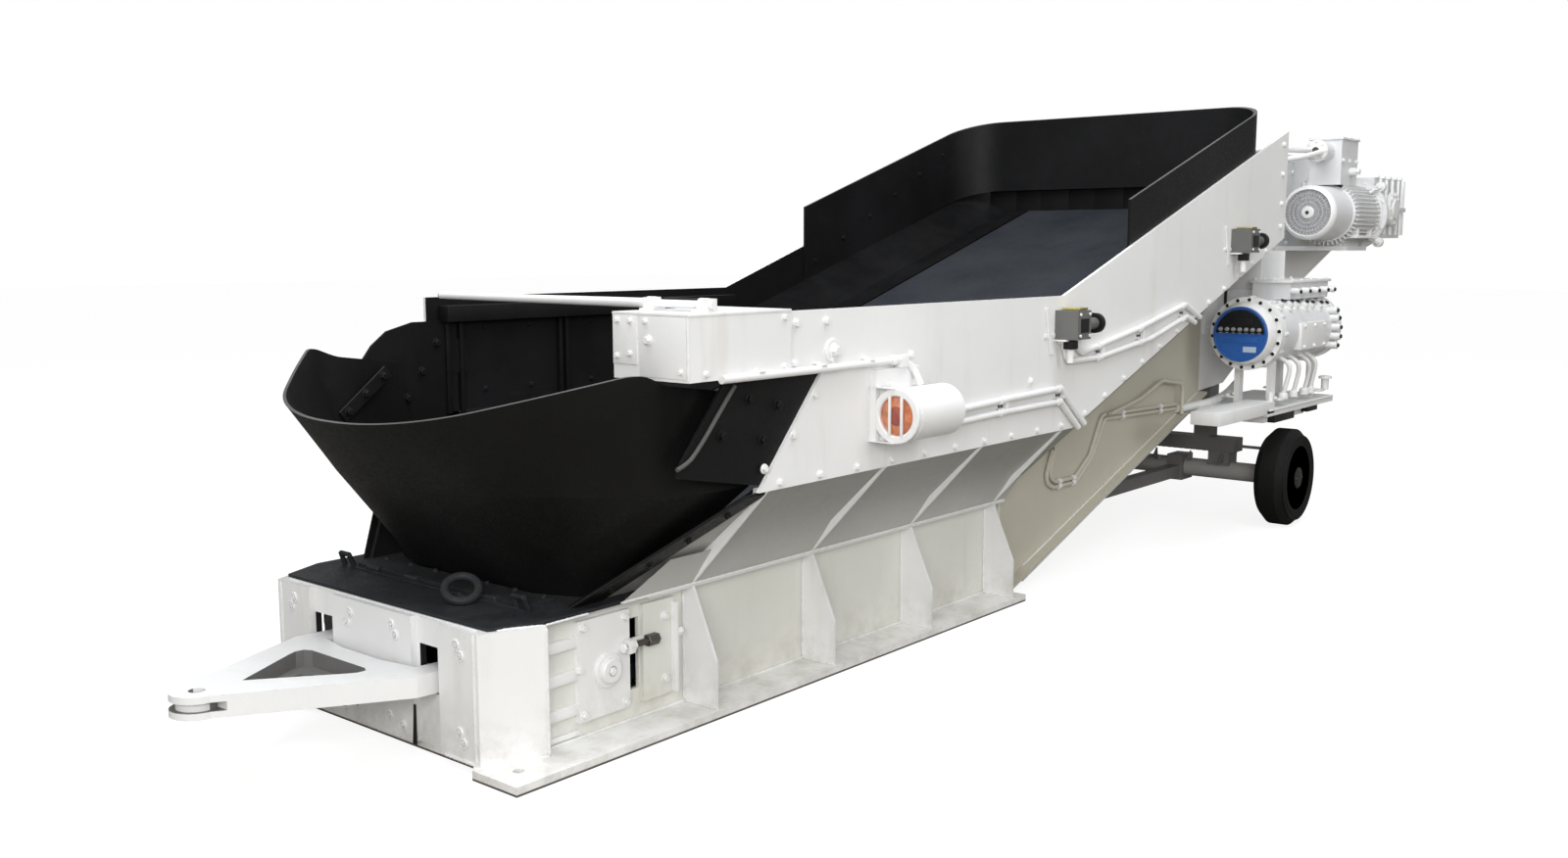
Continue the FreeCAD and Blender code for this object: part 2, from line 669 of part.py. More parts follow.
def bent_strip(outer, thick, height):
    """A closed plan outline: a line of (x, y, radius) corners and its copy a thickness inside."""
    points = [FreeCAD.Vector(x, y, 0) for x, y, _ in outer]
    sides = []
    for number in range(len(points) - 1):
        along = (points[number + 1] - points[number]).normalize()
        sides.append(FreeCAD.Vector(-along.y, along.x, 0))
    inner = []
    for number, point in enumerate(points):
        before = sides[max(number - 1, 0)]
        after = sides[min(number, len(sides) - 1)]
        shift = (before + after) * (thick / (1 + before.dot(after)))
        radius = outer[number][2]
        inner.append((point.x + shift.x, point.y + shift.y, radius - thick if radius else 0))

    def level(point):
        return FreeCAD.Vector(point.x, point.y, height)
    return rounded_wire(list(outer) + inner[::-1], level)


def mirrored_line(half):
    """A line of (station, y, radius) corners on the left, joined to its mirror image."""
    left = [(value(at(station)), y, radius) for station, y, radius in half]
    return [(x, -y, radius) for x, y, radius in left[::-1]] + left


# The apron's outline at four heights, from the nose back: each has the nose's station, the
# stations of the shoulder, of the turn behind it and of the rear end, how far the rear end stays
# inside the hopper's wall, the half widths of the first three as shares of the rear end's, and
# the radii of the three corners.
APRON_SECTIONS = [
    ("deck_top", 480, (560, 640, 720), 18, (0.55, 0.93, 1), (300, 90, 90)),
    ("(deck_top + flange_height) / 2", 300, (500, 640, 880), 36, (0.41, 0.81, 0.98),
     (700, 170, 120)),
    ("flange_height + slope_thick", 110, (540, 720, 950), 36, (0.33, 0.92, 0.99),
     (900, 200, 150)),
    ("apron_lip_height", -252, (455, 650, 860), 50, (0.35, 1, 0.965), (800, 140, 120)),
]


def apron_wire(level, nose, stations, inside, shares, radii):
    """One closed outline of the apron, a thickness wide."""
    height = value(level)
    cheek = "hopper_half_width - plate - thin_plate - joint_gap"
    wall = min(value(slope_inside(height)), value(cheek)) - inside
    half = [(nose, wall * shares[0], radii[0])]
    half += [(station, wall * share, radius)
             for station, share, radius in zip(stations, shares[1:] + (1,), radii[1:] + (0,))]
    return bent_strip(mirrored_line(half), value("apron_thick"), height)


def make_apron():
    """The flared front apron: a bent sheet lofted from its foot on the deck to its lip."""
    shell = Part.makeLoft([apron_wire(*section) for section in APRON_SECTIONS], True, True)
    rise = value("apron_lip_rise")
    nose = value(at("apron_nose_station"))
    low = value("apron_nose_height")
    reach = 1200
    crest, dip, back = (value(at(station)) for station in (440, 560, 900))
    lip = [(nose + reach, low - rise * reach, 0), (crest, low + rise * (nose - crest), 130),
           (dip, value("box_low") - 15, 200), (back, value("box_low") - 63, 0),
           (back, low + reach, 0), (nose + reach, low + reach, 0)]
    above = Part.Face(rounded_wire(lip, lambda point: FreeCAD.Vector(point.x, -reach, point.y)))
    above = above.extrude(FreeCAD.Vector(0, 2 * reach, 0))
    shaped("front_apron", shell.cut(above).Solids[0])


def make_ears():
    """Cheek plates inside the side plates' front ends; the left one stops under the box."""
    body = new_body("ear_plates")
    outer = "hopper_half_width - plate"
    front = "ear_front"
    bottom = [(at(f"{front} + 720"), "flange_height + slope_thick + 5"),
              (at(f"{front} + 420"), "flange_height + slope_thick + 5"), (at(front), "ear_low"),
              (at(front), "ear_low + 25")]
    top_right = [(at(f"{front} + 220"), "ear_top - 145"), (at(f"{front} + 260"), "ear_top - 95"),
                 (at(f"{front} + 340"), "ear_top - 35"), (at(f"{front} + 480"), "ear_top"),
                 (at(f"{front} + 720"), "ear_top")]
    top_left = [(at(f"{front} + 220"), "ear_top - 145"), (at(f"{front} + 245"), "box_low"),
                (at(f"{front} + 720"), "box_low")]
    for sign, top in ((1, top_left), (-1, top_right)):
        low, _ = span(sign, f"{outer} - thin_plate", outer)
        drawing = sketch(body, "XZ_Plane", f"-({low})", [bottom + top])
        pad(body, drawing, "thin_plate", reverse=True)


def make_deflector():
    """A bent rubber wall above the incline, open towards the hopper."""
    half = value("hopper_half_width - plate - joint_gap")
    thick = value("apron_thick")
    front, rear = value("deflector_front"), value("deflector_rear")
    line = mirrored_line([(rear, half, value("deflector_round")), (front, half, 0)])
    wall = Part.Face(bent_strip(line, -thick, 0)).extrude(FreeCAD.Vector(0, 0, 3000))
    rise = value("(side_end_top - side_top) / (side_end - side_bend)")
    over = 400
    reach = 2000

    def edge(station, lift):
        height = value("side_top") + (station - value("side_bend")) * rise + lift
        return FreeCAD.Vector(value(at(station)), -reach, height)
    above, below = value("deflector_rise"), -value("deflector_drop")
    band = [edge(front - above / 2, below), edge(front, above), edge(rear + over, above),
            edge(rear + over, below)]
    slab = Part.Face(Part.makePolygon(band + band[:1])).extrude(FreeCAD.Vector(0, 2 * reach, 0))
    shaped("deflector", wall.common(slab).Solids[0])


# ---------------------------------------------------------------- head frame and drive

def make_head_frame():
    body = new_body("head_frame_walls")
    outline = [(at("trough_end"), trough_height("trough_depth", "trough_end")),
               (at("head_toe_station"), "head_toe_height"),
               (at("head_knee_station"), "head_frame_low"),
               (at("head_frame_end"), "head_frame_low + head_end_rise"),
               (at("head_frame_end"), "head_frame_top"),
               (at("side_end + joint_gap"), "head_frame_top"),
               (at("side_end + joint_gap"), f"{deck_height('side_end')} - floor_gap"),
               (at("trough_end"), f"{deck_height('trough_end')} - floor_gap")]
    for sign in (1, -1):
        low, _ = span(sign, "trough_half_width - plate", "trough_half_width")
        drawing = sketch(body, "XZ_Plane", f"-({low})", [outline],
                         [(at("head_station"), "head_height", "shaft_radius + joint_gap")])
        pad(body, drawing, "plate", reverse=True)

    inner = "trough_half_width - plate"
    places = (("trough_end + 150", "head_toe_height + 170"),
              ("head_knee_station - 100", "head_frame_low + 80"))
    beams = [box(f"cross_beam_{number}", (at(f"{station} + cross_beam_depth"), at(station)),
                 (f"-({inner})", inner), (low, f"{low} + cross_beam_height"))
             for number, (station, low) in enumerate(places)]
    group("cross_beams", beams)


def make_motor():
    """A finned motor lying along the machine, with its fan cowl forward."""
    parts = [
        cylinder("motor_cowl", "x", (at("cowl_station + cowl_length"), "motor_y", "motor_height"),
                 "cowl_length", "cowl_radius"),
        cylinder("motor_frame", "x",
                 (at("cowl_station + cowl_length + motor_length"), "motor_y", "motor_height"),
                 "motor_length", "motor_radius"),
        cylinder("motor_flange", "x",
                 (at("cowl_station + cowl_length + motor_length + flange_thick"), "motor_y",
                  "motor_height"), "flange_thick", "flange_radius")]
    keep(fuse("motor", parts), "motor")


def make_drive():
    start = "cowl_station + cowl_length + motor_length + flange_thick"
    inner = "trough_half_width + skirt_gap"
    housing = [cylinder("adaptor", "x", (at("gearbox_front"), "motor_y", "motor_height"),
                        f"gearbox_front - ({start})", "adaptor_radius"),
               box("gear_case", (at("gearbox_rear"), at("gearbox_front")), (inner, "gearbox_outer"),
                   ("head_height - gearbox_half_height", "head_height + gearbox_half_height"))]
    bore = cylinder("gear_bore", "y", (at("head_station"), "trough_half_width", "head_height"),
                    "shaft_reach", "shaft_radius + joint_gap")
    keep(cut("gearbox", fuse("gear_housing", housing), bore), "gearbox")

    top = "motor_height + motor_radius + terminal_height"
    terminal = box("terminal_case", (at("terminal_rear"), at("terminal_front")),
                   ("motor_y - terminal_half", "motor_y + terminal_half"),
                   ("motor_height + motor_radius", top))
    gland = cylinder("terminal_gland", "x", (at("terminal_front"), "motor_y", f"{top} - gland_drop"),
                     "gland_length", "gland_radius")
    keep(fuse("motor_terminal_box", [terminal, gland]), "motor_terminal_box")

    bracket = [box("drive_shelf", (at("bracket_rear"), at("bracket_front")),
                   ("trough_half_width", "motor_y + bracket_margin"),
                   ("bracket_height - bracket_thick", "bracket_height")),
               box("drive_foot", (at("bracket_rear - foot_margin"), at("bracket_front + foot_margin")),
                   ("motor_y - foot_half", "motor_y + foot_half"),
                   ("bracket_height", "motor_height - motor_radius + cradle_wrap"))]
    cradle = cylinder("drive_cradle", "x", (at("gearbox_front"), "motor_y", "motor_height"),
                      "gearbox_front - cowl_station", "motor_radius + bearing_gap")
    keep(cut("drive_bracket", fuse("drive_frame", bracket), cradle), "drive_bracket")


# ---------------------------------------------------------------- running gear

def make_axle():
    body = new_body("axle")
    stub = "wheel_outer - 30"
    profile = [(f"-({stub})", "0"), (f"-({stub})", "stub_radius"), ("-axle_half", "stub_radius"),
               ("-axle_half", "axle_radius"), ("axle_half", "axle_radius"),
               ("axle_half", "stub_radius"), (stub, "stub_radius"), (stub, "0")]
    revolved(body, sketch(body, "YZ_Plane", "0", [profile]))
    place(body, at("axle_station"), "0", "wheel_radius")


def round_axle(label, piece):
    """Cut a piece clear of the axle tube that runs through it."""
    bore = cylinder(label + "_bore", "y", (at("axle_station"), "-axle_half", "wheel_radius"),
                    "2 * axle_half", "axle_radius + bearing_gap")
    return cut(label, piece, bore)


def make_axle_beam():
    """The cross beam over the axle, with its saddles below and its hangers above."""
    front, rear = at("axle_station - beam_half_depth"), at("axle_station + beam_half_depth")
    parts = [box("beam", (rear, front), ("-beam_half_width", "beam_half_width"),
                 ("beam_low", "beam_high"))]
    for sign, side in ((1, "left"), (-1, "right")):
        wall = "trough_half_width - plate"
        seat = "wheel_radius + axle_radius - saddle_lap"
        parts.append(box(f"saddle_{side}", (rear, front), span(sign, wall, f"{wall} + saddle_width"),
                         (seat, "beam_low")))
        parts.append(box(f"hanger_{side}", (rear, front), span(sign, f"{wall} - hanger_width", wall),
                         ("beam_high", "hanger_top")))
        middle = "(beam_low + beam_high) / 2"
        parts.append(box(f"stay_{side}", (at("axle_station + stay_height"), at("axle_station")),
                         span(sign, "beam_half_width", "wheel_outer - tyre_width - stay_gap"),
                         (f"{middle} - stay_height", middle)))
    keep(round_axle("axle_beam", fuse("beam_frame", parts)), "axle_beam")

    def strut(sign, name):
        sides = span(sign, "strut_y - strut_half", "strut_y + strut_half")
        underside = f"{trough_height('trough_depth', 'strut_front')} - plate"
        bar = box(name + "_bar", (at("axle_station - axle_radius"), at("strut_front")), sides,
                  ("strut_height - strut_half", "strut_height + strut_half"))
        lug = box(name + "_lug", (at("strut_front + strut_lug"), at("strut_front")), sides,
                  ("strut_height - strut_half", underside))
        clamp = box(name + "_clamp",
                    (at("axle_station + clamp_half"), at("axle_station - clamp_half")),
                    span(sign, "strut_y - strut_half - plate", "strut_y + strut_half + plate"),
                    ("wheel_radius - clamp_half", "wheel_radius + clamp_half"))
        return round_axle(name, fuse(name + "_frame", [bar, lug, clamp]))
    both_sides("axle_struts", strut)


def make_wheel(side, sign):
    """A solid tyre on a dished hub, both turned about the axle's line."""
    outer, inner = "wheel_outer", "wheel_outer - tyre_width"
    shoulder = 45

    def outward(text):
        return text if sign > 0 else f"-({text})"
    tyre = new_body(f"tyre_{side}")
    profile = [(inner, "rim_radius"), (inner, f"wheel_radius - {shoulder}"),
               (f"{inner} + {shoulder}", "wheel_radius"), (f"{outer} - {shoulder}", "wheel_radius"),
               (outer, f"wheel_radius - {shoulder}"), (outer, "rim_radius")]
    profile = [(outward(y), radius) for y, radius in profile]
    revolved(tyre, sketch(tyre, "YZ_Plane", "0", [profile]))
    hub = new_body(f"hub_{side}")
    bore = "stub_radius + bearing_gap"
    profile = [(f"{inner} + 10", bore), (f"{inner} + 10", "rim_radius"), (f"{outer} - 20", "rim_radius"),
               (f"{outer} - 20", "rim_radius - 22"), (f"{outer} - 90", "rim_radius - 45"),
               (f"{outer} - 90", "95"), (f"{outer} - 40", "85"), (f"{outer} - 40", bore)]
    profile = [(outward(y), radius) for y, radius in profile]
    revolved(hub, sketch(hub, "YZ_Plane", "0", [profile]))
    for piece in (tyre, hub):
        place(piece, at("axle_station"), "0", "wheel_radius")


# ---------------------------------------------------------------- drawbar

def make_drawbar():
    """A flat triangular frame with a grooved nose, carried a little nose-up at rest."""
    body = new_body("drawbar")
    centre = "-(drawbar_nose - nose_radius)"
    side_start = 40
    lean = f"((arm_outer - nose_radius) / (drawbar_nose - nose_radius - {side_start}))"

    def opening(nose, sides):
        return [(at(nose), "0")] + [(at(x), y) for x, y in sides] + [
            (at(x), f"-({y})") for x, y in reversed(sides)]

    hole = opening("-465", [("-185", "178"), ("-150", "196"), ("-118", "194"), ("-102", "165")])
    gap = opening("-385", [("-215", "100"), ("-180", "112"), ("-160", "85")])
    rim = opening("-475", [("-185", "185"), ("-150", "204"), ("-110", "204"), ("-92", "165")])

    def layer(low, thick, reach, nose):
        """One slice: its sides start a little behind the nose's centre, its nose is round."""
        half = [(at(f"{centre} + {reach}"), f"nose_radius + ({reach}) * {lean}"),
                (at(f"-{side_start}"), "arm_outer"), (at("pivot_station + lug_half"), "arm_outer"),
                (at("pivot_station + lug_half"), "arm_inner"), (at("25"), "arm_inner"),
                (at("-5"), "120")]
        plan = half + [(x, f"-({y})") for x, y in reversed(half)]
        pad(body, sketch(body, "XY_Plane", low, [plan, hole]), thick)
        pad(body, sketch(body, "XY_Plane", low, [], [(at(centre), "0", nose)]), thick)

    bottom = "drawbar_top - drawbar_thick"
    middle = "drawbar_top - drawbar_thick / 2"
    flange = "(drawbar_thick - groove_height) / 2"
    layer(bottom, flange, "0", "nose_radius")
    layer(f"{middle} - groove_height / 2", "groove_height", "groove_reach",
          "nose_radius - groove_depth")
    layer(f"{middle} + groove_height / 2", flange, "0", "nose_radius")
    pad(body, sketch(body, "XY_Plane", bottom, [rim, gap]), "web_thick")
    pocket(body, sketch(body, "XY_Plane", "0", [], [(at(centre), "0", "tow_hole_radius")]))
    pivot = [(at("pivot_station"), middle, "pin_radius + pin_gap")]
    pocket(body, sketch(body, "XZ_Plane", "0", [], pivot))
    tilt = value("drawbar_tilt")
    sine, rest = math.sin(math.radians(tilt)), 1 - math.cos(math.radians(tilt))
    body.Placement = FreeCAD.Placement(
        FreeCAD.Vector(), FreeCAD.Rotation(FreeCAD.Vector(0, -1, 0), tilt))
    place(body, f"{at('pivot_station')} * {rest} + ({middle}) * {sine}", "0",
          f"({middle}) * {rest} - {at('pivot_station')} * {sine}")

    def lugs(sign, name):
        cheeks = []
        for number, (low, high) in enumerate((
                ("arm_inner - lug_gap - lug_thick", "arm_inner - lug_gap"),
                ("arm_outer + lug_gap", "arm_outer + lug_gap + lug_thick"))):
            cheeks.append(box(f"{name}_cheek_{number}",
                              (at("pivot_station + lug_half"), at("pivot_station - lug_half")),
                              span(sign, low, high), ("skid_thick", "drawbar_top")))
        low, _ = span(sign, "arm_inner - lug_gap - lug_thick", "arm_outer + lug_gap + lug_thick")
        pin = cylinder(name + "_pin", "y", (at("pivot_station"), low, middle),
                       "arm_outer - arm_inner + 2 * lug_gap + 2 * lug_thick", "pin_radius")
        return fuse(name, cheeks + [pin])
    both_sides("drawbar_pivots", lugs)


# ---------------------------------------------------------------- starter

def make_starter():
    line = ("starter_y", "starter_height")
    keep(cylinder("starter_cover", "x", (at("starter_station + face_depth"), *line),
                  "face_depth", "face_radius"), "starter_cover")
    keep(cylinder("starter_ring", "x", (at("starter_station + face_depth + ring_thick"), *line),
                  "ring_thick", "ring_radius"), "starter_ring")
    start = "starter_station + face_depth + ring_thick"
    keep(cylinder("starter_body", "x", (at(f"{start} + starter_length"), *line),
                  "starter_length", "starter_radius"), "starter_body")
    crown = "starter_height + starter_radius"
    keep(box("starter_terminal_box", (at("starter_box_rear"), at("starter_box_front")),
             ("starter_y - cradle_half", "starter_y + cradle_half"),
             (crown, f"{crown} + starter_box_height")), "starter_terminal_box")
    level = ("shelf_height - shelf_thick", "shelf_height")
    clear = "trough_half_width + trough_flange + joint_gap"
    shelf = [box("shelf_plate", (at("shelf_rear"), at("starter_station")), (clear, "shelf_outer"), level),
             box("shelf_root", (at("shelf_rear"), at("trough_end + joint_gap")),
                 ("trough_half_width", clear), level)]
    windows = []
    for number, station in enumerate(("cradle_front", "cradle_front + cradle_pitch")):
        foot = (at(f"{station} + cradle_thick"), at(station))
        shelf.append(box(f"shelf_foot_{number}", foot,
                         ("starter_y - cradle_half", "starter_y + cradle_half"),
                         ("shelf_height", "starter_height - starter_radius + cradle_wrap")))
        windows.append(box(f"shelf_window_{number}", foot,
                           ("starter_y - window_half", "starter_y + window_half"),
                           ("shelf_height + cradle_wrap", "starter_height - starter_radius - plate")))
    cradle = cylinder("shelf_cradle", "x", (at(f"{start} + starter_length"), *line),
                      "starter_length", "starter_radius + bearing_gap")
    keep(cut("starter_shelf", fuse("shelf_frame", shelf), fuse("shelf_spaces", [cradle] + windows)),
         "starter_shelf")


# ---------------------------------------------------------------- fittings on the side plate

def make_side_box():
    keep(box("side_box", (at("box_rear"), at("box_station")), ("box_inner", "box_outer"),
             ("box_low", "box_high")), "side_box")


def make_feeler():
    line = "box_high + feeler_lift"
    rod = cylinder("feeler_bar", "y", (at("feeler_station"), "-feeler_tip", line),
                   "feeler_tip + box_outer - clamp_width / 2", "feeler_radius")
    reach = (at("feeler_station + clamp_width"), at("feeler_station - clamp_width"))
    clamps = [box(f"feeler_clamp_{number}", reach,
                  (y, f"{y} + clamp_width"), ("box_high", f"{line} + 1.5 * feeler_radius"))
              for number, y in enumerate(("box_inner + clamp_width", "box_outer - 2 * clamp_width"))]
    keep(fuse("feeler_rod", [rod] + clamps), "feeler_rod")


def make_lamp():
    """A round lamp on a plate, its lens set back in its tube."""
    y = "hopper_half_width + lamp_offset"
    base = box("lamp_base", (at("lamp_station + lamp_length - 40"), at("lamp_station - 10")),
               ("hopper_half_width", "hopper_half_width + 2 * plate"),
               ("lamp_height - lamp_radius", "lamp_height + lamp_radius + lens_recess"))
    tube = cylinder("lamp_tube", "x", (at("lamp_station + lamp_length"), y, "lamp_height"),
                    "lamp_length", "lamp_radius")
    floor = at("lamp_station + lens_recess")
    recess = cylinder("lamp_recess", "x", (floor, y, "lamp_height"), "lens_recess + plate",
                      "lens_radius + joint_gap")
    keep(cut("lamp_housing", fuse("lamp_shell", [base, tube]), recess), "lamp_housing")
    keep(cylinder("lamp_lens", "x", (floor, y, "lamp_height"), "lens_depth", "lens_radius"),
         "lamp_lens")


# ---------------------------------------------------------------- conduits and cables

def cord(corners, y, radius, bend):
    """A round cord beside a wall: straight runs between (station, z) corners, joined by arcs."""
    points = [FreeCAD.Vector(value(at(station)), y, height) for station, height in corners]
    edges = []
    start = points[0]
    for before, here, after in zip(points, points[1:], points[2:]):
        back = (before - here).normalize()
        ahead = (after - here).normalize()
        half = back.getAngle(ahead) / 2
        reach = bend / math.tan(half)
        middle = (back + ahead).normalize()
        bulge = here + middle * (bend / math.sin(half) - bend)
        edges.append(Part.LineSegment(start, here + back * reach).toShape())
        edges.append(Part.Arc(here + back * reach, bulge, here + ahead * reach).toShape())
        start = here + ahead * reach
    edges.append(Part.LineSegment(start, points[-1]).toShape())
    ring = Part.Circle(points[0], points[1] - points[0], radius).toShape()
    return Part.Wire(edges).makePipeShell([Part.Wire([ring])], True, False)


# Corners of each route, as station and height.
CONDUITS = [
    [(1940, 1078), (2545, 1098), (3105, 1110), (3350, 918)],
    [(2060, 1030), (2566, 1044), (3103, 1047), (3290, 905)],
    [(3230, 1330), (3300, 1266), (3924, 1357), (4490, 1462), (4690, 1385)],
    [(3120, 1325), (3165, 1233), (3480, 1233), (4063, 1297), (4505, 1396), (4625, 1358)],
]
WALL_CABLES = [
    [(3825, 690), (3747, 529), (3845, 484), (4101, 482), (4280, 599), (4422, 802), (4958, 786),
     (5400, 775)],
    [(3862, 700), (3785, 550), (3868, 512), (4088, 510), (4256, 613), (4392, 828), (4950, 814),
     (5400, 803)],
]
OUTER_CABLE = [(4426, 835), (4800, 887), (5103, 974), (5400, 935), (5400, 741)]
LAMP_CONDUIT = [(700, 1328), (1319, 1328), (1700, 1332)]


def make_cords():
    side = value("hopper_half_width")
    wall = value("trough_half_width")
    large, small = value("conduit_radius"), value("cable_radius")
    bend = value("cord_bend")
    pieces = [cord(route, side + large, large, bend) for route in CONDUITS]
    pieces.append(cord(LAMP_CONDUIT, value("box_outer") + large, large, bend))
    shaped("conduits", Part.makeCompound(pieces))
    pieces = [cord(route, wall + small, small, bend) for route in WALL_CABLES]
    pieces.append(cord(OUTER_CABLE, wall + 4 * small, small, bend))
    shaped("wall_cables", Part.makeCompound(pieces))


def make_switch(label, station, height):
    """An emergency-stop switch on the side plate, with its button on a stem."""
    y = "hopper_half_width"
    end = f"{station} + switch_length"
    block = box(label + "_block", (at(end), at(station)), (y, f"{y} + switch_width"),
                (f"{height} - switch_half_height", f"{height} + switch_half_height"))
    tip = f"{end} + stem_length"
    line = f"{y} + knob_offset"
    stem = cylinder(label + "_stem", "x", (at(tip), line, height), "stem_length", "stem_radius")
    knob = cylinder(label + "_knob", "x", (at(f"{tip} + knob_length"), line, height),
                    "knob_length", "knob_radius")
    keep(fuse(label, [block, stem, knob]), label)


for make in (make_skid, make_front_wall, make_corner_plates, make_centre_plate, make_deck,
             make_ledges, make_bay_walls, make_deck_hatch, make_lower_ribs, make_upper_ribs,
             make_trough, make_belt, make_skirts, make_liners, make_tensioners,
             make_apron, make_ears, make_deflector, make_head_frame, make_motor, make_drive,
             make_axle, make_axle_beam, make_drawbar, make_starter, make_side_box, make_feeler,
             make_lamp, make_cords):
    make()
make_drum("tail_drum", "tail_station", "tail_height", "tail_radius",
          ("bay_wall + plate + slide_thick + shaft_end", "bay_wall + plate + slide_thick + shaft_end"))
make_drum("head_drum", "head_station", "head_height", "head_radius",
          ("trough_half_width + shaft_radius", "trough_half_width + shaft_reach"))
make_switch("stop_switch_front", "switch_front", "switch_front_height")
make_switch("stop_switch_rear", "switch_rear", "switch_rear_height")
for side, sign in (("left", 1), ("right", -1)):
    make_slopes(side, sign)
    make_side_plate(side, sign)
    make_wheel(side, sign)

doc.recompute()
for item in doc.Objects:
    if {"Invalid", "Error"} & set(item.State):
        raise RuntimeError(f"{item.Name} ({item.Label}): {item.State}")
for node in nodes:
    if node.Shape.isNull() or not node.Shape.isValid():
        raise RuntimeError(f"{node.Label} has no valid shape")
    print(node.Label, len(node.Shape.Solids), round(node.Shape.Volume / 1e9, 4), node.Shape.BoundBox)

os.makedirs("parts", exist_ok=True)
for node in nodes:
    node.Shape.exportStep(f"parts/{node.Label}.step")
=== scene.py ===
"""Looks for a mobile transfer conveyor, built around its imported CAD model.

Metres, in the model's own frame: the origin is on the ground below the middle of the skid,
X points to the drawbar and Y to the left. Most places are given as a station, which is the
distance back from the skid's front edge, then Y and the height.
"""
import json
import math
import random
from itertools import product

import bmesh
import bpy
from mathutils import Matrix, Vector

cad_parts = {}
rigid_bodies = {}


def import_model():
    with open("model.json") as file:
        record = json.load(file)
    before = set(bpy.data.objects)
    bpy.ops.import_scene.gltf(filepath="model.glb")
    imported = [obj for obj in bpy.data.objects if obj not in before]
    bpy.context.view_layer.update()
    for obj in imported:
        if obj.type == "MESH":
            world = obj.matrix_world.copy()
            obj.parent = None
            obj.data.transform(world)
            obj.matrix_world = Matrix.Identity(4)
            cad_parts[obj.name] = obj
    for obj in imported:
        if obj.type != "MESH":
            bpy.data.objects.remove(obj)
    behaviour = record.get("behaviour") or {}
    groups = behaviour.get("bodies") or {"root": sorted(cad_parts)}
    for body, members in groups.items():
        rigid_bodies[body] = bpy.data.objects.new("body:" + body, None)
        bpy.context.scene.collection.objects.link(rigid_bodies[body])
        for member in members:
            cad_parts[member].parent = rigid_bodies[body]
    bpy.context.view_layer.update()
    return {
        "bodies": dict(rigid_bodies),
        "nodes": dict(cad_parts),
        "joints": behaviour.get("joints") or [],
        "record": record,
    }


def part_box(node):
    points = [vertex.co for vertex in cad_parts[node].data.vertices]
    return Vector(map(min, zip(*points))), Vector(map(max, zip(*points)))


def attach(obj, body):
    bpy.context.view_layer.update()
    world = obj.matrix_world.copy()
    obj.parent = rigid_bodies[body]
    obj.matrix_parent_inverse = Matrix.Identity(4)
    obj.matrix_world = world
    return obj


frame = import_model()

# The X of the skid's front edge, a little ahead of the bay's walls.
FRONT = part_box("bay_walls")[1].x + 0.255
# Distances to the left: the side plate's two faces, the trough's wall, the head frame's wall
# and the welds on the bay's walls.
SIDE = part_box("side_plate_left")[1].y
INSIDE = SIDE - 0.016
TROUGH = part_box("trough_walls")[1].y
FRAME, WALL_WELD = 0.660, 0.664
# Heights, and the stations of the four ribs.
DECK_TOP, SKID_TOP = 0.506, 0.038
RIBS = [0.980 + 0.728 * number for number in range(4)]
# The side plate's lower edge is level up to a station, and then rises.
EDGE_LOW, EDGE_TURN, EDGE_RISE = 0.903, 3.27, 0.342
LEFT, RIGHT = 1, -1
FORE, AFT, OUT, INWARD, UP = (1, 0, 0), (-1, 0, 0), (0, 1, 0), (0, -1, 0), (0, 0, 1)
chance = random.Random(15)


def at(station, y, z):
    """A point from its station, its distance to the left and its height."""
    return Vector((FRONT - station, y, z))


# ---------------------------------------------------------------- finishes

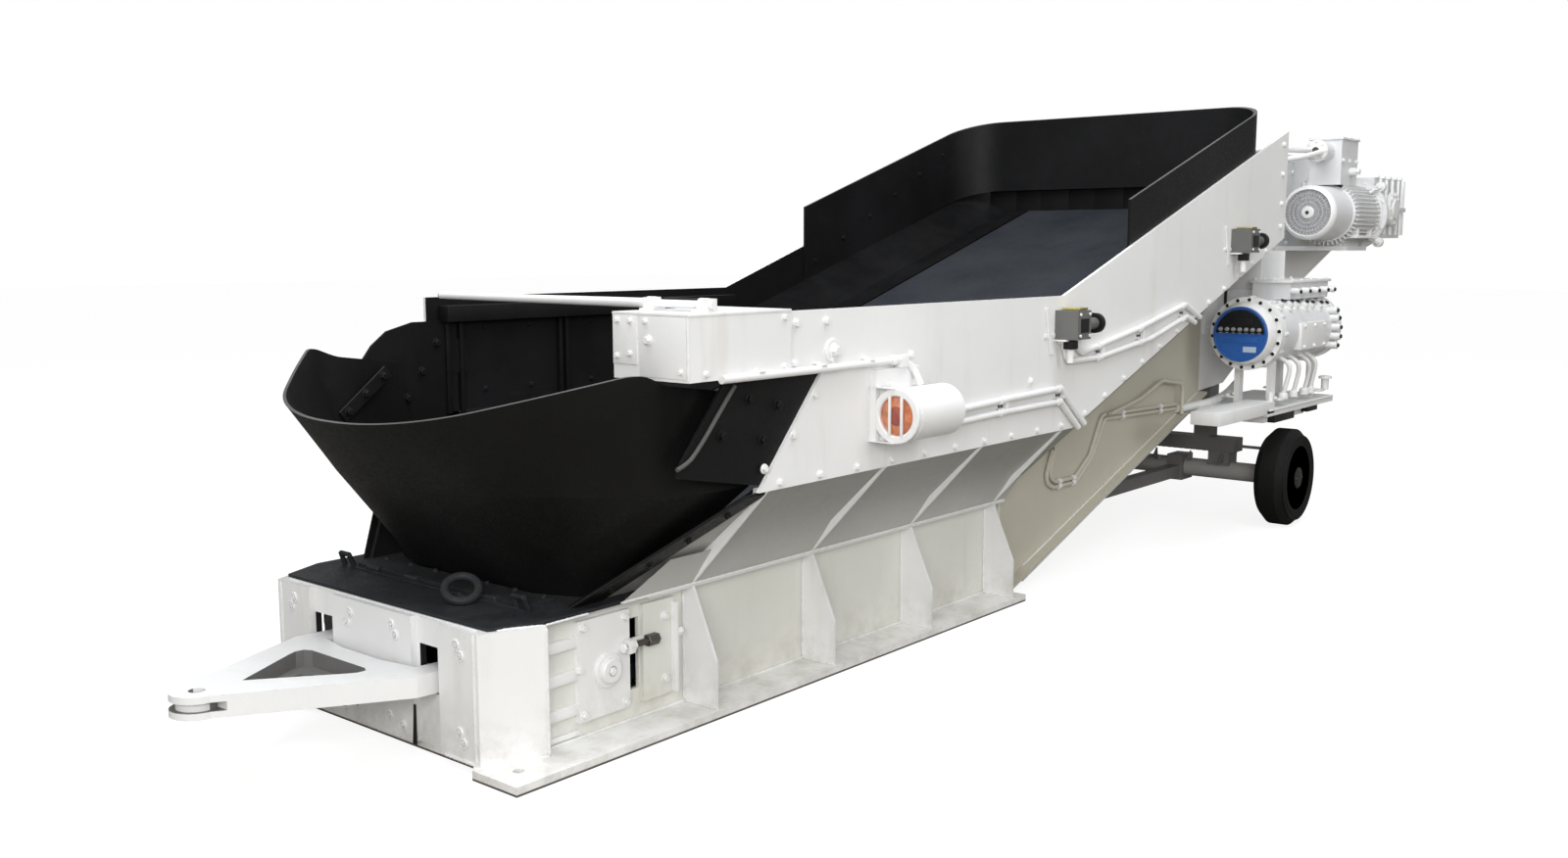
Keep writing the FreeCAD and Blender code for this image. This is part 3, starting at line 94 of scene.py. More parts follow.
class Finish:
    """A material made of patterns that sit in the model's own coordinates."""

    def __init__(self, name):
        self.material = bpy.data.materials.new(name)
        self.material.use_nodes = True
        self.tree = self.material.node_tree
        self.shader = self.tree.nodes["Principled BSDF"]
        self.place = self.node("TexCoord").outputs["Object"]

    def node(self, kind, wires=None, **settings):
        """A shader node with its settings, and its inputs set or linked."""
        node = self.tree.nodes.new("ShaderNode" + kind)
        for key, setting in settings.items():
            setattr(node, key, setting)
        for key, source in (wires or {}).items():
            self.feed(node.inputs[key], source)
        return node

    def feed(self, socket, source):
        """Link a socket to an output, or set it to a value."""
        if isinstance(source, bpy.types.NodeSocket):
            self.tree.links.new(source, socket)
        elif isinstance(source, tuple) and len(source) == 3 and socket.type == "RGBA":
            socket.default_value = source + (1.0,)
        else:
            socket.default_value = source

    def calc(self, operation, first, second):
        """One operation on two numbers or outputs."""
        return self.node("Math", {0: first, 1: second}, operation=operation).outputs[0]

    def times(self, first, second):
        return self.calc("MULTIPLY", first, second)

    def noise(self, scale, detail, roughness=0.55, stretch=None, distortion=0.0):
        """A noise from 0 to 1; stretch squeezes it along the axes."""
        place = self.place
        if stretch:
            place = self.node("Mapping", {"Vector": place, "Scale": stretch}).outputs[0]
        return self.node("TexNoise", {
            "Vector": place, "Scale": scale, "Detail": detail, "Roughness": roughness,
            "Distortion": distortion}).outputs["Fac"]

    def step(self, source, low, high, bottom=0.0, top=1.0):
        """A smooth step from bottom to top as source goes from low to high."""
        return self.node("MapRange", {
            "Value": source, "From Min": low, "From Max": high, "To Min": bottom,
            "To Max": top}, interpolation_type="SMOOTHSTEP").outputs["Result"]

    def mix(self, share, first, second):
        return self.node("Mix", {0: share, 6: first, 7: second}, data_type="RGBA").outputs[2]

    def axis(self, source, name):
        """One axis of a vector; of a normal's Z, 1 is a floor, 0 a wall and -1 a ceiling."""
        return self.node("SeparateXYZ", {0: source}).outputs[name]

    def normal(self):
        return self.node("NewGeometry").outputs["Normal"]

    def under_side_plate(self):
        """How far a place is below the side plate's lower edge."""
        behind = self.calc("SUBTRACT", FRONT - EDGE_TURN, self.axis(self.place, "X"))
        rise = self.times(self.calc("MAXIMUM", behind, 0.0), EDGE_RISE)
        return self.calc("SUBTRACT", self.calc("ADD", rise, EDGE_LOW), self.axis(self.place, "Z"))

    def edges(self, radius):
        """1 along sharp edges, 0 away from them."""
        rounded = self.node("Bevel", {"Radius": radius}, samples=4).outputs[0]
        dot = self.node("VectorMath", {0: rounded, 1: self.normal()}, operation="DOT_PRODUCT")
        return self.step(self.calc("SUBTRACT", 1.0, dot.outputs["Value"]), 0.02, 0.2)

    def bumps(self, *layers):
        """Bump from (height, depth in metres) layers."""
        normal = None
        for height, depth in layers:
            wires = {"Height": height, "Distance": depth, "Strength": 1.0}
            if normal:
                wires["Normal"] = normal
            normal = self.node("Bump", wires).outputs[0]
        return normal

    def done(self, **sockets):
        """Feed the shader's own sockets and give back the material."""
        for key, source in sockets.items():
            self.feed(self.shader.inputs[key.replace("_", " ")], source)
        return self.material


def make_paint(name, colour, shade, soil=0.35, gloss=0.36, dust=(0.55, 0.52, 0.45), floor=0.0,
               under_plate_shade=None):
    """Brushed and sprayed enamel on plate: uneven, a little soiled and chipped at its edges, with painted
    shade that darkens it towards the side plate's lower edge when a shade colour is given.
    """
    skin = Finish(name)
    cloud = skin.noise(1.1, 5, 0.6)
    fine = skin.noise(38, 6, 0.7)
    runs = skin.noise(9, 5, 0.6, stretch=(1, 1, 0.12))
    tone = skin.mix(skin.step(cloud, 0.35, 0.68, 0, 0.5), colour, shade)
    film = skin.times(skin.step(runs, 0.52, 0.78), skin.step(cloud, 0.38, 0.62))
    tone = skin.mix(skin.times(film, soil), tone, dust)
    specks = skin.times(skin.step(skin.noise(160, 3, 0.5), 0.69, 0.76),
                        skin.step(skin.noise(2.6, 3), 0.5, 0.7))
    tone = skin.mix(skin.times(specks, 0.5), tone, (0.22, 0.19, 0.16))
    low = skin.times(skin.step(skin.axis(skin.place, "Z"), 0.30, 0.0),
                     skin.step(skin.noise(7, 6, 0.7), 0.36, 0.72))
    tone = skin.mix(skin.times(low, 0.30 + soil * 0.5), tone, (0.38, 0.33, 0.27))
    worn = skin.times(skin.edges(0.006), skin.step(fine, 0.50, 0.66))
    tone = skin.mix(skin.times(worn, 0.55), tone, (0.30, 0.27, 0.24))
    # Painted shade under the side plate's overhang: darker towards the plate's lower edge.
    if under_plate_shade:
        tone = skin.mix(skin.step(skin.under_side_plate(), 0.46, 0.06), tone, under_plate_shade)
    if floor:
        tone = skin.mix(skin.step(skin.axis(skin.place, "Z"), floor + 0.004, floor), tone,
                        (0.09, 0.08, 0.07))
    rough = skin.calc("ADD", skin.step(fine, 0.2, 0.8, gloss - 0.06, gloss + 0.10),
                      skin.times(film, 0.2))
    peel = skin.bumps((skin.noise(190, 2, 0.5), 0.00025), (skin.noise(2.2, 2, 0.4), 0.006),
                      (fine, 0.0006))
    return skin.done(Base_Color=tone, Roughness=rough, Normal=peel, Specular_IOR_Level=0.5)


def make_black(name, colour, lighter, rough, grain, scuffs=0.3, dust=0.25, marks=0.05, shine=0.17):
    """Black paint or rubber: scuffed, dusty where it faces up, with its own grain."""
    skin = Finish(name)
    cloud = skin.noise(1.6, 5, 0.6)
    fine = skin.noise(60, 6, 0.7)
    mark = (marks, marks, marks * 0.97)
    tone = skin.mix(skin.step(cloud, 0.32, 0.7), colour, lighter)
    rubs = skin.noise(14, 6, 0.7, stretch=(0.16, 1, 1), distortion=0.6)
    rubs = skin.times(skin.step(rubs, 0.58, 0.74), skin.step(cloud, 0.42, 0.6))
    tone = skin.mix(skin.times(rubs, scuffs), tone, mark)
    settled = skin.times(skin.step(skin.axis(skin.normal(), "Z"), 0.25, 1.0),
                         skin.step(skin.noise(5, 6, 0.7), 0.34, 0.7))
    tone = skin.mix(skin.times(settled, dust), tone, mark)
    worn = skin.times(skin.edges(0.005), skin.step(fine, 0.40, 0.62))
    tone = skin.mix(skin.times(worn, scuffs), tone, (marks * 1.6,) * 3)
    matt = skin.step(fine, 0.25, 0.8, rough - 0.08, rough + 0.12)
    grains = skin.bumps((skin.noise(230, 3, 0.6), grain), (skin.noise(3.2, 3, 0.5), 0.004),
                        (fine, grain))
    return skin.done(Base_Color=tone, Roughness=matt, Normal=grains, Specular_IOR_Level=shine)


def make_metal(name, colour, rough, brushed=(1, 1, 1)):
    """Bare or plated steel, brushed and a little oxidised."""
    skin = Finish(name)
    fine = skin.noise(90, 6, 0.7, stretch=brushed)
    tone = skin.mix(skin.step(skin.noise(6, 4, 0.6), 0.4, 0.75, 0, 0.6), colour, (0.16, 0.12, 0.09))
    return skin.done(Base_Color=tone, Roughness=skin.step(fine, 0.2, 0.8, rough - 0.08, rough + 0.14),
                     Metallic=0.85, Normal=skin.bumps((fine, 0.0004)))


def make_glass(name, colour):
    """Coloured glass with a clouded tone."""
    skin = Finish(name)
    tone = skin.mix(skin.step(skin.noise(26, 4, 0.6), 0.3, 0.7), colour,
                    tuple(c * 0.55 for c in colour))
    return skin.done(Base_Color=tone, Roughness=0.08, IOR=1.5, Coat_Weight=1.0)


WHITE = make_paint("white_enamel", (0.79, 0.79, 0.79), (0.72, 0.725, 0.735))
# White paint tinted warm and a little darker: the painted shade of the recessed bays.
WARM_SHADE_WHITE = make_paint("white_enamel_warm_shade", (0.72, 0.72, 0.68), (0.63, 0.63, 0.58), 0.4, 0.42)
# The trough's white paint as seen in warm shade: the khaki tone is painted shade, darker still under the
# side plate.
TROUGH_SHADE_WHITE = make_paint("white_enamel_trough_shade", (0.54, 0.52, 0.44), (0.45, 0.43, 0.36), 0.4, 0.45,
                   under_plate_shade=(0.11, 0.105, 0.085))
# The slopes' white paint darkened as painted shade, darker still under the side plate.
SLOPE_SHADE_WHITE = make_paint("white_enamel_slopes_shade", (0.54, 0.54, 0.52), (0.44, 0.44, 0.42), 0.4, 0.42,
                   under_plate_shade=(0.30, 0.30, 0.285))
# The incline slopes' white paint darkened further as painted shade.
SHADED = make_paint("white_enamel_deep_shade", (0.32, 0.315, 0.27), (0.25, 0.245, 0.21), 0.4, 0.5,
                    (0.22, 0.21, 0.18))
GREYISH = make_paint("white_enamel_machines", (0.72, 0.725, 0.74), (0.62, 0.625, 0.64), 0.55, 0.34,
                     (0.42, 0.41, 0.40))
MACHINE = make_paint("grey_enamel_machines", (0.13, 0.13, 0.125), (0.08, 0.08, 0.078), 0.5, 0.36,
                     (0.36, 0.35, 0.33))
SKID = make_paint("skid_enamel", (0.84, 0.84, 0.83), (0.76, 0.755, 0.74), 0.35, 0.45, floor=0.006)
# The grille's white paint darkened as painted shade in its openings.
GRILLE_SHADE_WHITE = make_paint("white_enamel_grille_shade", (0.50, 0.50, 0.52), (0.42, 0.42, 0.44), 0.4, 0.4)
KNOB = make_paint("knob_enamel", (0.26, 0.27, 0.28), (0.18, 0.19, 0.20), 0.2, 0.3)
LABEL = make_paint("bare_label", (0.46, 0.56, 0.68), (0.40, 0.50, 0.64), 0.2, 0.3)
# Grey chassis paint; also used as painted shade inside the drawbar's hole.
CHASSIS_GREY_AND_SHADE = make_paint("grey_enamel", (0.17, 0.165, 0.165), (0.12, 0.12, 0.12), 0.5, 0.5,
                          (0.22, 0.21, 0.19))
AXLE_GREY = make_paint("grey_enamel_pale", (0.36, 0.355, 0.35), (0.28, 0.275, 0.27), 0.4, 0.5,
                       (0.30, 0.28, 0.25))
BLUE = make_paint("blue_enamel", (0.022, 0.105, 0.38), (0.018, 0.075, 0.29), 0.12, 0.30)
BLACK = make_black("black_enamel", (0.0045, 0.0045, 0.005), (0.009, 0.009, 0.010), 0.50, 0.0006,
                   marks=0.03)
HUB = make_black("hub_enamel", (0.012, 0.012, 0.013), (0.028, 0.028, 0.030), 0.42, 0.0006)
DECK = make_black("deck_enamel", (0.015, 0.017, 0.020), (0.028, 0.030, 0.035), 0.52, 0.0010,
                  0.35, 0.45, 0.07)
LINER = make_black("liner_enamel", (0.0035, 0.0035, 0.004), (0.007, 0.007, 0.008), 0.50, 0.0006,
                   0.35, 0.4, 0.014, 0.04)
RUBBER = make_black("apron_rubber", (0.0035, 0.0035, 0.0035), (0.0075, 0.0075, 0.0075), 0.56, 0.0008,
                    0.22, 0.12, 0.03)
# Paler rubber, for the up-facing faces of the apron's lip and the deflector, and along the apron's edges.
RIM = make_black("pale_rubber_edge", (0.085, 0.085, 0.083), (0.14, 0.14, 0.135), 0.6, 0.0008)
BELT = make_black("belt_rubber", (0.013, 0.016, 0.022), (0.026, 0.030, 0.038), 0.60, 0.0016,
                  0.4, 0.4, 0.030)
# Black plastic; also used as painted shade in the front wall's slots and its slit.
PLASTIC_AND_SHADE = make_black("black_plastic_and_shade", (0.009, 0.009, 0.010), (0.018, 0.018, 0.019), 0.36, 0.0004)
TYRE = make_black("tyre_rubber", (0.005, 0.005, 0.005), (0.010, 0.010, 0.010), 0.66, 0.0012,
                  0.15, 0.1)
DARK_STEEL = make_metal("oiled_steel", (0.11, 0.105, 0.10), 0.42, (0.2, 1, 1))
BRASS = make_metal("brass", (0.62, 0.55, 0.22), 0.4)
LENS = make_glass("amber_glass", (0.36, 0.060, 0.030))
# A paler copy of the amber glass: painted light on the lamp's dome.
PAINTED_LIGHT_AMBER = make_glass("amber_glass_painted_light", (0.72, 0.24, 0.11))

# Each material slot's finishes, and the CAD pieces that take them.
FINISHES = {
    "white_paint": {
        WHITE: "front_wall centre_plate corner_plates side_plate_left side_plate_right upper_ribs "
               "lower_ribs drawbar drawbar_pivots side_box feeler_rod lamp_housing "
               "head_frame_walls starter_shelf side_ledges tension_slides conduits starter_ring",
        WARM_SHADE_WHITE: "bay_walls tension_anchors",
        TROUGH_SHADE_WHITE: "trough_walls trough_floor cross_beams wall_cables",
        SLOPE_SHADE_WHITE: "hopper_slope_left hopper_slope_right",
        SHADED: "incline_slopes",
        GREYISH: "motor gearbox motor_terminal_box drive_bracket starter_body "
                 "starter_terminal_box",
        MACHINE: "stop_switch_front stop_switch_rear",
        SKID: "skid_plate", GRILLE_SHADE_WHITE: "", KNOB: "", LABEL: ""},
    "chassis_grey_paint": {CHASSIS_GREY_AND_SHADE: "axle_beam axle_struts", AXLE_GREY: "axle"},
    "blue_paint": {BLUE: "starter_cover"},
    "black_paint": {BLACK: "ear_plates deflector", HUB: "hub_left hub_right"},
    "deck_grey_paint": {DECK: "front_deck deck_hatch", LINER: "incline_liners deck_skirts"},
    "black_rubber": {RUBBER: "front_apron", BELT: "conveyor_belt", RIM: "", PLASTIC_AND_SHADE: ""},
    "solid_tyre": {TYRE: "tyre_left tyre_right"},
    "worn_steel": {DARK_STEEL: "head_drum tail_drum", BRASS: ""},
    "lamp_glass": {LENS: "lamp_lens", PAINTED_LIGHT_AMBER: ""},
}
for slot, group in FINISHES.items():
    for material, names in group.items():
        for name in names.split():
            node = frame["nodes"][name]
            node.data.materials.clear()
            node.data.materials.append(material)


def second_finish(name, material, chosen):
    """Give the chosen faces of a CAD piece a second finish."""
    mesh = frame["nodes"][name].data
    mesh.materials.append(material)
    for face in mesh.polygons:
        if chosen(face):
            face.material_index = len(mesh.materials) - 1


for side, sign in (("left", LEFT), ("right", RIGHT)):
    second_finish(f"side_plate_{side}", BLACK, lambda face: face.normal.y * sign < -0.5)
    second_finish(f"hopper_slope_{side}", BLACK, lambda face: face.normal.z > 0.3
                  or face.normal.x > 0.3)
second_finish("incline_slopes", LINER, lambda face: face.normal.z > 0.3)
# Painted shade: the faces inside the front wall's slots turn black.
second_finish("front_wall", PLASTIC_AND_SHADE, lambda face: abs(face.normal.x) < 0.5
              and abs(face.center.y) < 0.52 and 0.12 < face.center.z < 0.42)
# Painted shade: the faces inside the drawbar's hole, and the arms' inner sides, take the dark grey paint.
hole_middle = Vector((1.80, 0, 0.29))
second_finish("drawbar", CHASSIS_GREY_AND_SHADE, lambda face: face.center.x > 1.64
              and face.normal.dot(face.center - hole_middle) < 0)
for name, station in (("stop_switch_front", 3.300), ("stop_switch_rear", 5.370)):
    second_finish(name, PLASTIC_AND_SHADE, lambda face: face.center.x < FRONT - station)
# The up-facing faces of the apron's lip and of the deflector take the paler rubber.
second_finish("front_apron", RIM, lambda face: face.normal.z > 0.55 and face.center.z > 1.0)
second_finish("deflector", RIM, lambda face: face.normal.z > 0.8)


# ---------------------------------------------------------------- shapes

def facing(base, axis):
    """A matrix that puts the origin at base and Z along axis."""
    turn = Vector(axis).to_track_quat("Z", "Y").to_matrix().to_4x4()
    return Matrix.Translation(Vector(base)) @ turn


def angles(count, start=0.0):
    """Evenly spaced angles, all the way round."""
    return [start + math.tau * i / count for i in range(count)]


def circle(radius, count, start=0.0):
    """Evenly spaced points of a circle, as pairs."""
    return [(radius * math.cos(angle), radius * math.sin(angle)) for angle in angles(count, start)]


def grid(*axes):
    """Every place made of one station, one y and one height, each given as a number or several."""
    return product(*[axis if isinstance(axis, (tuple, list)) else [axis] for axis in axes])


def walk(start, end, count):
    """Evenly spaced numbers from start to end."""
    return [start + (end - start) * i / (count - 1) for i in range(count)]


def add_piece(name, data, material, body="chassis"):
    """Put a mesh or a curve in the scene with its finish and let it ride on a body."""
    piece = bpy.data.objects.new(name, data)
    bpy.context.scene.collection.objects.link(piece)
    piece.data.materials.append(material)
    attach(piece, body)


def pipes(name, routes, radius, material, order=4):
    """Pipes or cables along smooth lines, each a list of (station, y, height)."""
    curve = bpy.data.curves.new(name, "CURVE")
    curve.dimensions = "3D"
    curve.bevel_depth = radius
    curve.bevel_resolution = 3
    curve.use_fill_caps = True
    for route in routes:
        spline = curve.splines.new("NURBS")
        spline.points.add(len(route) - 1)
        for point, place in zip(spline.points, route):
            point.co = (*at(*place), 1)
        spline.order_u = order
        spline.use_endpoint_u = True
        spline.resolution_u = 8
    add_piece(name, curve, material)


class Shape:
    """One mesh under construction."""

    def __init__(self):
        self.mesh = bmesh.new()

    def solid(self, rings, caps=True, matrix=None):
        """Faces between rings of points, with caps on the first and the last, or joined up."""
        matrix = matrix or Matrix()
        rows = [[self.mesh.verts.new(matrix @ Vector(point)) for point in ring] for ring in rings]
        count = len(rows[0])
        pairs = list(zip(rows, rows[1:]))
        if not caps:
            pairs.append((rows[-1], rows[0]))
        for low, high in pairs:
            for i in range(count):
                j = (i + 1) % count
                self.mesh.faces.new((low[i], low[j], high[j], high[i]))
        if caps:
            self.mesh.faces.new(rows[0][::-1])
            self.mesh.faces.new(rows[-1])
        return rows

    def block(self, low, high, bevel, matrix=None):
        """A box with rounded edges."""
        matrix = matrix or Matrix()
        made = bmesh.ops.create_cube(self.mesh, size=1)["verts"]
        low, high = Vector(low), Vector(high)
        for vert in made:
            vert.co = matrix @ Vector([low[i] + (vert.co[i] + 0.5) * (high[i] - low[i])
                                       for i in range(3)])
        if bevel:
            edges = list({edge for vert in made for edge in vert.link_edges})
            bmesh.ops.bevel(self.mesh, geom=edges, offset=bevel, segments=2, affect="EDGES",
                            profile=0.6)

    def boxes(self, bevel, *rows):
        """Blocks, each from a rear (station, y, height) to a front one, in a row of six."""
        for row in rows:
            self.block(at(*row[:3]), at(*row[3:]), bevel)

    def slices(self, bevel, stations, half, *sections):
        """At each station, blocks of twice the half length with (y, height, y, height) sections."""
        for station in stations:
            for y, low, far_y, high in sections:
                self.boxes(bevel, (station + half, y, low, station - half, far_y, high))

    def lathe(self, profile, base, axis, steps, hollow=False):
        """Turn (radius, distance) points about an axis through base; hollow makes a ring."""
        rings = [[(x, y, along) for x, y in circle(radius, steps)] for radius, along in profile]
        self.solid(rings, caps=not hollow, matrix=facing(base, axis))

    def rod(self, start, end, radius, steps=16):
        """A round bar with eased ends, between two (station, y, height) places."""
        start, end = at(*start), at(*end)
        length = (end - start).length
        ease = min(0.0015, radius * 0.4, length * 0.3)
        self.lathe([(radius - ease, 0), (radius, ease), (radius, length - ease),
                    (radius - ease, length)], start, end - start, steps)

    def plate(self, outline, thick, bevel=0.003):
        """An outline of points in one plane, made thick along a vector."""
        points = [Vector(point) for point in outline]
        rows = self.solid([points, [point + Vector(thick) for point in points]])
        if bevel:
            edges = {edge for row in rows for vert in row for edge in vert.link_edges}
            bmesh.ops.bevel(self.mesh, geom=list(edges), offset=bevel, segments=1,
                            affect="EDGES")

    def bolt(self, point, axis, size, washer=True, turn=0.0):
        """A washer with a hexagon head on it; size is half the head's width."""
        base, axis = Vector(point), Vector(axis).normalized()
        if washer:
            self.lathe([(size * 1.5, -0.001), (size * 1.5, size * 0.2), (size * 1.35, size * 0.28)],
                       base, axis, 18)
            base = base + axis * size * 0.28
        corners = circle(size * 1.1, 6)
        rings = [[(x * k, y * k, z) for x, y in corners]
                 for k, z in ((1, 0), (1, size * 0.75), (0.82, size * 0.92))]
        self.solid(rings, matrix=facing(base, axis) @ Matrix.Rotation(turn, 4, "Z"))

    def bolts(self, places, axis, size, turn="", washer=True):
        """Bolts at (station, y, height) places; turn names what sets each head's angle."""
        for place in places:
            angle = sum(place["syh".index(key)] for key in turn)
            self.bolt(at(*place), axis, size, washer, angle)

    def bolt_circle(self, centre, axis, radius, count, size, start=0.0, washer=False):
        """Bolts evenly round an axis."""
        for angle, (x, y) in zip(angles(count, start), circle(radius, count, start)):
            self.bolt(facing(centre, axis) @ Vector((x, y, 0)), axis, size, washer, angle * 3)

    def spokes(self, centre, axis, turns, low, high, bevel):
        """A block at each angle round an axis, with its corners given in the turned frame."""
        for angle in turns:
            self.block(low, high, bevel, facing(centre, axis) @ Matrix.Rotation(angle, 4, "Z"))

    def bead(self, places, radius=0.006, step=0.011):
        """A weld bead: a low rippled ridge along (station, y, height) places."""
        points = [at(*place) for place in places]
        for start, end in zip(points, points[1:]):
            run = end - start
            count = max(2, int(run.length / step))
            rings = []
            for i in range(count + 1):
                swell = radius * (0.86 + 0.28 * (i % 2) + 0.14 * chance.random())
                if i in (0, count):
                    swell = radius * 0.5
                rings.append([(x, y, run.length * i / count) for x, y in circle(swell, 6)])
            self.solid(rings, matrix=facing(start, run))

    def done(self, name, material, body="chassis", slot=None, mirror=False):
        """Close the mesh, give it a finish and let it ride on a body."""
        if mirror:
            copy = bmesh.ops.duplicate(self.mesh, geom=self.mesh.verts[:] + self.mesh.edges[:]
                                       + self.mesh.faces[:])["geom"]
            verts = [item for item in copy if isinstance(item, bmesh.types.BMVert)]
            faces = [item for item in copy if isinstance(item, bmesh.types.BMFace)]
            bmesh.ops.scale(self.mesh, vec=(1, -1, 1), verts=verts)
            bmesh.ops.reverse_faces(self.mesh, faces=faces)
        bmesh.ops.recalc_face_normals(self.mesh, faces=self.mesh.faces)
        mesh = bpy.data.meshes.new(name)
        self.mesh.to_mesh(mesh)
        self.mesh.free()
        mesh.shade_smooth()
        mesh.set_sharp_from_angle(angle=math.radians(32))
        add_piece(name, mesh, material, body)


# ---------------------------------------------------------------- hopper and side plates

def make_side_bolts():
    """The bolts that show on both side plates, in a row along the lower edge and one by one."""
    shape = Shape()
    for sign in (LEFT, RIGHT):
        out = (0, sign, 0)
        face = sign * SIDE
        row = walk(1.045, 3.1465, 10) + walk(3.38, 5.6735, 12)
        places = [(station, EDGE_LOW + max(0.0, station - EDGE_TURN) * EDGE_RISE + 0.024, 0.0115)
                  for station in row]
        places += [(station, height, 0.0125) for station, height in (
            (0.957, 0.988), (1.119, 1.092), (1.243, 1.232), (1.134, 1.500), (1.312, 1.501),
            (1.872, 1.342), (2.844, 1.162), (1.13, 1.352), (5.90, 2.40), (5.90, 2.22), (5.90, 2.04),
            (5.90, 1.90))]
        for station, height, size in places:
            shape.bolt(at(station, face, height), out, size, turn=chance.random())
        shape.lathe([(0.047, 0), (0.047, 0.006), (0.043, 0.009), (0.030, 0.009)],
                    at(1.352, face, 1.388), out, 28)
        shape.bolt(at(1.352, face + sign * 0.009, 1.388), out, 0.019)
        shape.bolt(at(1.345, face, 1.352), out, 0.013)
    shape.done("side_plate_bolts", WHITE)


def make_slope_trim():
    """Black flanges along the front edges of the hopper's slopes, their skins and weld beads."""
    low = at(0.450, 0.618, DECK_TOP)
    along = at(0.915, 1.069, EDGE_LOW) - low
    across = Vector(AFT)
    out = Vector((0, along.z, -along.y)).normalized()
    flange = Shape()
    outline = [low + along * 0.005 - across * 0.03, low + along - across * 0.05,
               low + along + across * 0.080, low + along * 0.005 + across * 0.125]
    flange.plate([point + out * 0.002 for point in outline], out * 0.010)
    for share in (0.16, 0.38, 0.60, 0.82):
        place = low + along * share + across * (0.045 - 0.02 * share) + out * 0.012
        flange.bolt(place, out, 0.010, turn=share)
    flange.done("slope_flanges", BLACK, mirror=True)

    # The skins take the slopes' white paint, darkened as painted shade.
    panel = Shape()
    outer = [(0.709, 0.5065), (0.760, 0.5750), (0.812, 0.6520), (0.902, 0.7385), (1.0705, 0.9015)]
    section = outer + [(y - 0.004, height) for y, height in reversed(outer)]
    for start, finish in zip(RIBS, RIBS[1:] + [3.268]):
        panel.solid([[at(station, y, height) for y, height in section]
                     for station in (start + 0.005, finish - 0.005)])
    panel.plate([at(0.62, 0.709, 0.5065), at(0.975, 0.709, 0.5065), at(0.975, 0.812, 0.6520),
                 at(0.76, 0.812, 0.6520)], (0, -0.004, 0), 0.0)
    panel.done("slope_panels", SLOPE_SHADE_WHITE, mirror=True)

    bead = Shape()
    for start, y, height, radius in ((0.60, 0.714, DECK_TOP, 0.005), (0.98, 1.073, 0.906, 0.005),
                                     (0.26, WALL_WELD, SKID_TOP, 0.006)):
        bead.bead([(start, y, height), (3.265, y, height)], radius, 0.02)
    for rib in RIBS:
        for station in (rib - 0.0075, rib + 0.0075):
            for run in ((WALL_WELD, 0.045), (WALL_WELD, 0.488)), ((0.670, SKID_TOP),
                       (0.826, SKID_TOP)), ((0.705, 0.600), (1.062, 0.900)):
                bead.bead([(station, *place) for place in run], 0.0045, 0.012)
    bead.done("hopper_welds", WHITE, mirror=True)


def make_hopper_inside():
    """The black box rail and upright bars on the inner faces of the side plates."""
    shape = Shape()
    face = INSIDE - 0.001
    shape.boxes(0.006, (3.15, INSIDE - 0.072, 1.430, 1.160, face, 1.506))
    shape.boxes(0.003, (3.15, INSIDE - 0.012, 0.985, 1.182, face, 1.010))
    shape.boxes(0.004, (1.207, INSIDE - 0.026, 1.00, 1.182, face, 1.464))
    shape.boxes(0.0, (1.312, INSIDE - 0.0125, 1.190, 1.2502, INSIDE - 0.0005, 1.345))
    shape.slices(0.003, (1.273, 1.883, 1.926, 2.536, 2.579, 3.111), 0.011,
                 (INSIDE - 0.024, 1.00, face, 1.464))
    shape.bolts(grid((1.42, 1.70, 2.10, 2.35, 2.72, 2.95), INSIDE, (1.10, 1.40)), INWARD, 0.010, "s")
    shape.done("hopper_bars", BLACK, mirror=True)

    rail = Shape()
    y, rise = INSIDE - 0.03, (5.60 - 3.30) * EDGE_RISE
    rail.plate([at(3.30, y, 1.02), at(5.60, y, 1.02 + rise), at(5.60, y, 1.11 + rise),
                at(3.30, y, 1.11)], (0, 0.028, 0))
    rail.done("incline_rails", BLACK, mirror=True)


def make_apron_trim():
    """Clamping strips and bolts where the rubber apron meets the ears."""
    shape = Shape()
    for station, height in ((0.895, 1.241), (0.750, 1.125), (1.135, 1.335), (1.050, 1.208),
                            (0.965, 1.090)):
        shape.bolt(at(station, INSIDE, height), OUT, 0.015, turn=station)
        shape.bolt(at(station, INSIDE - 0.0125, height), INWARD, 0.015, turn=height)
    shape.done("ear_bolts", BLACK, mirror=True)
    places = ((0.525, 1.036), (0.577, 1.050), (0.625, 1.091), (0.679, 1.146), (0.739, 1.214),
              (0.816, 1.296))
    pipes("apron_edges", [[(station, sign * (INSIDE + 0.004), height) for station, height in places]
                          for sign in (LEFT, RIGHT)], 0.008, RIM, 3)

    strip = Shape()
    low, high = at(0.560, 0.952, 1.050), at(0.800, 0.960, 1.235)
    along, inward = high - low, Vector(INWARD)
    across = along.cross(inward).normalized() * 0.030
    strip.plate([low - across, high - across, high + across, low + across], inward * 0.010)
    for share in (0.12, 0.5, 0.88):
        strip.bolt(low + along * share + inward * 0.010, inward, 0.014, turn=share)
    strip.done("apron_strips", BLACK, mirror=True)


# ---------------------------------------------------------------- front box

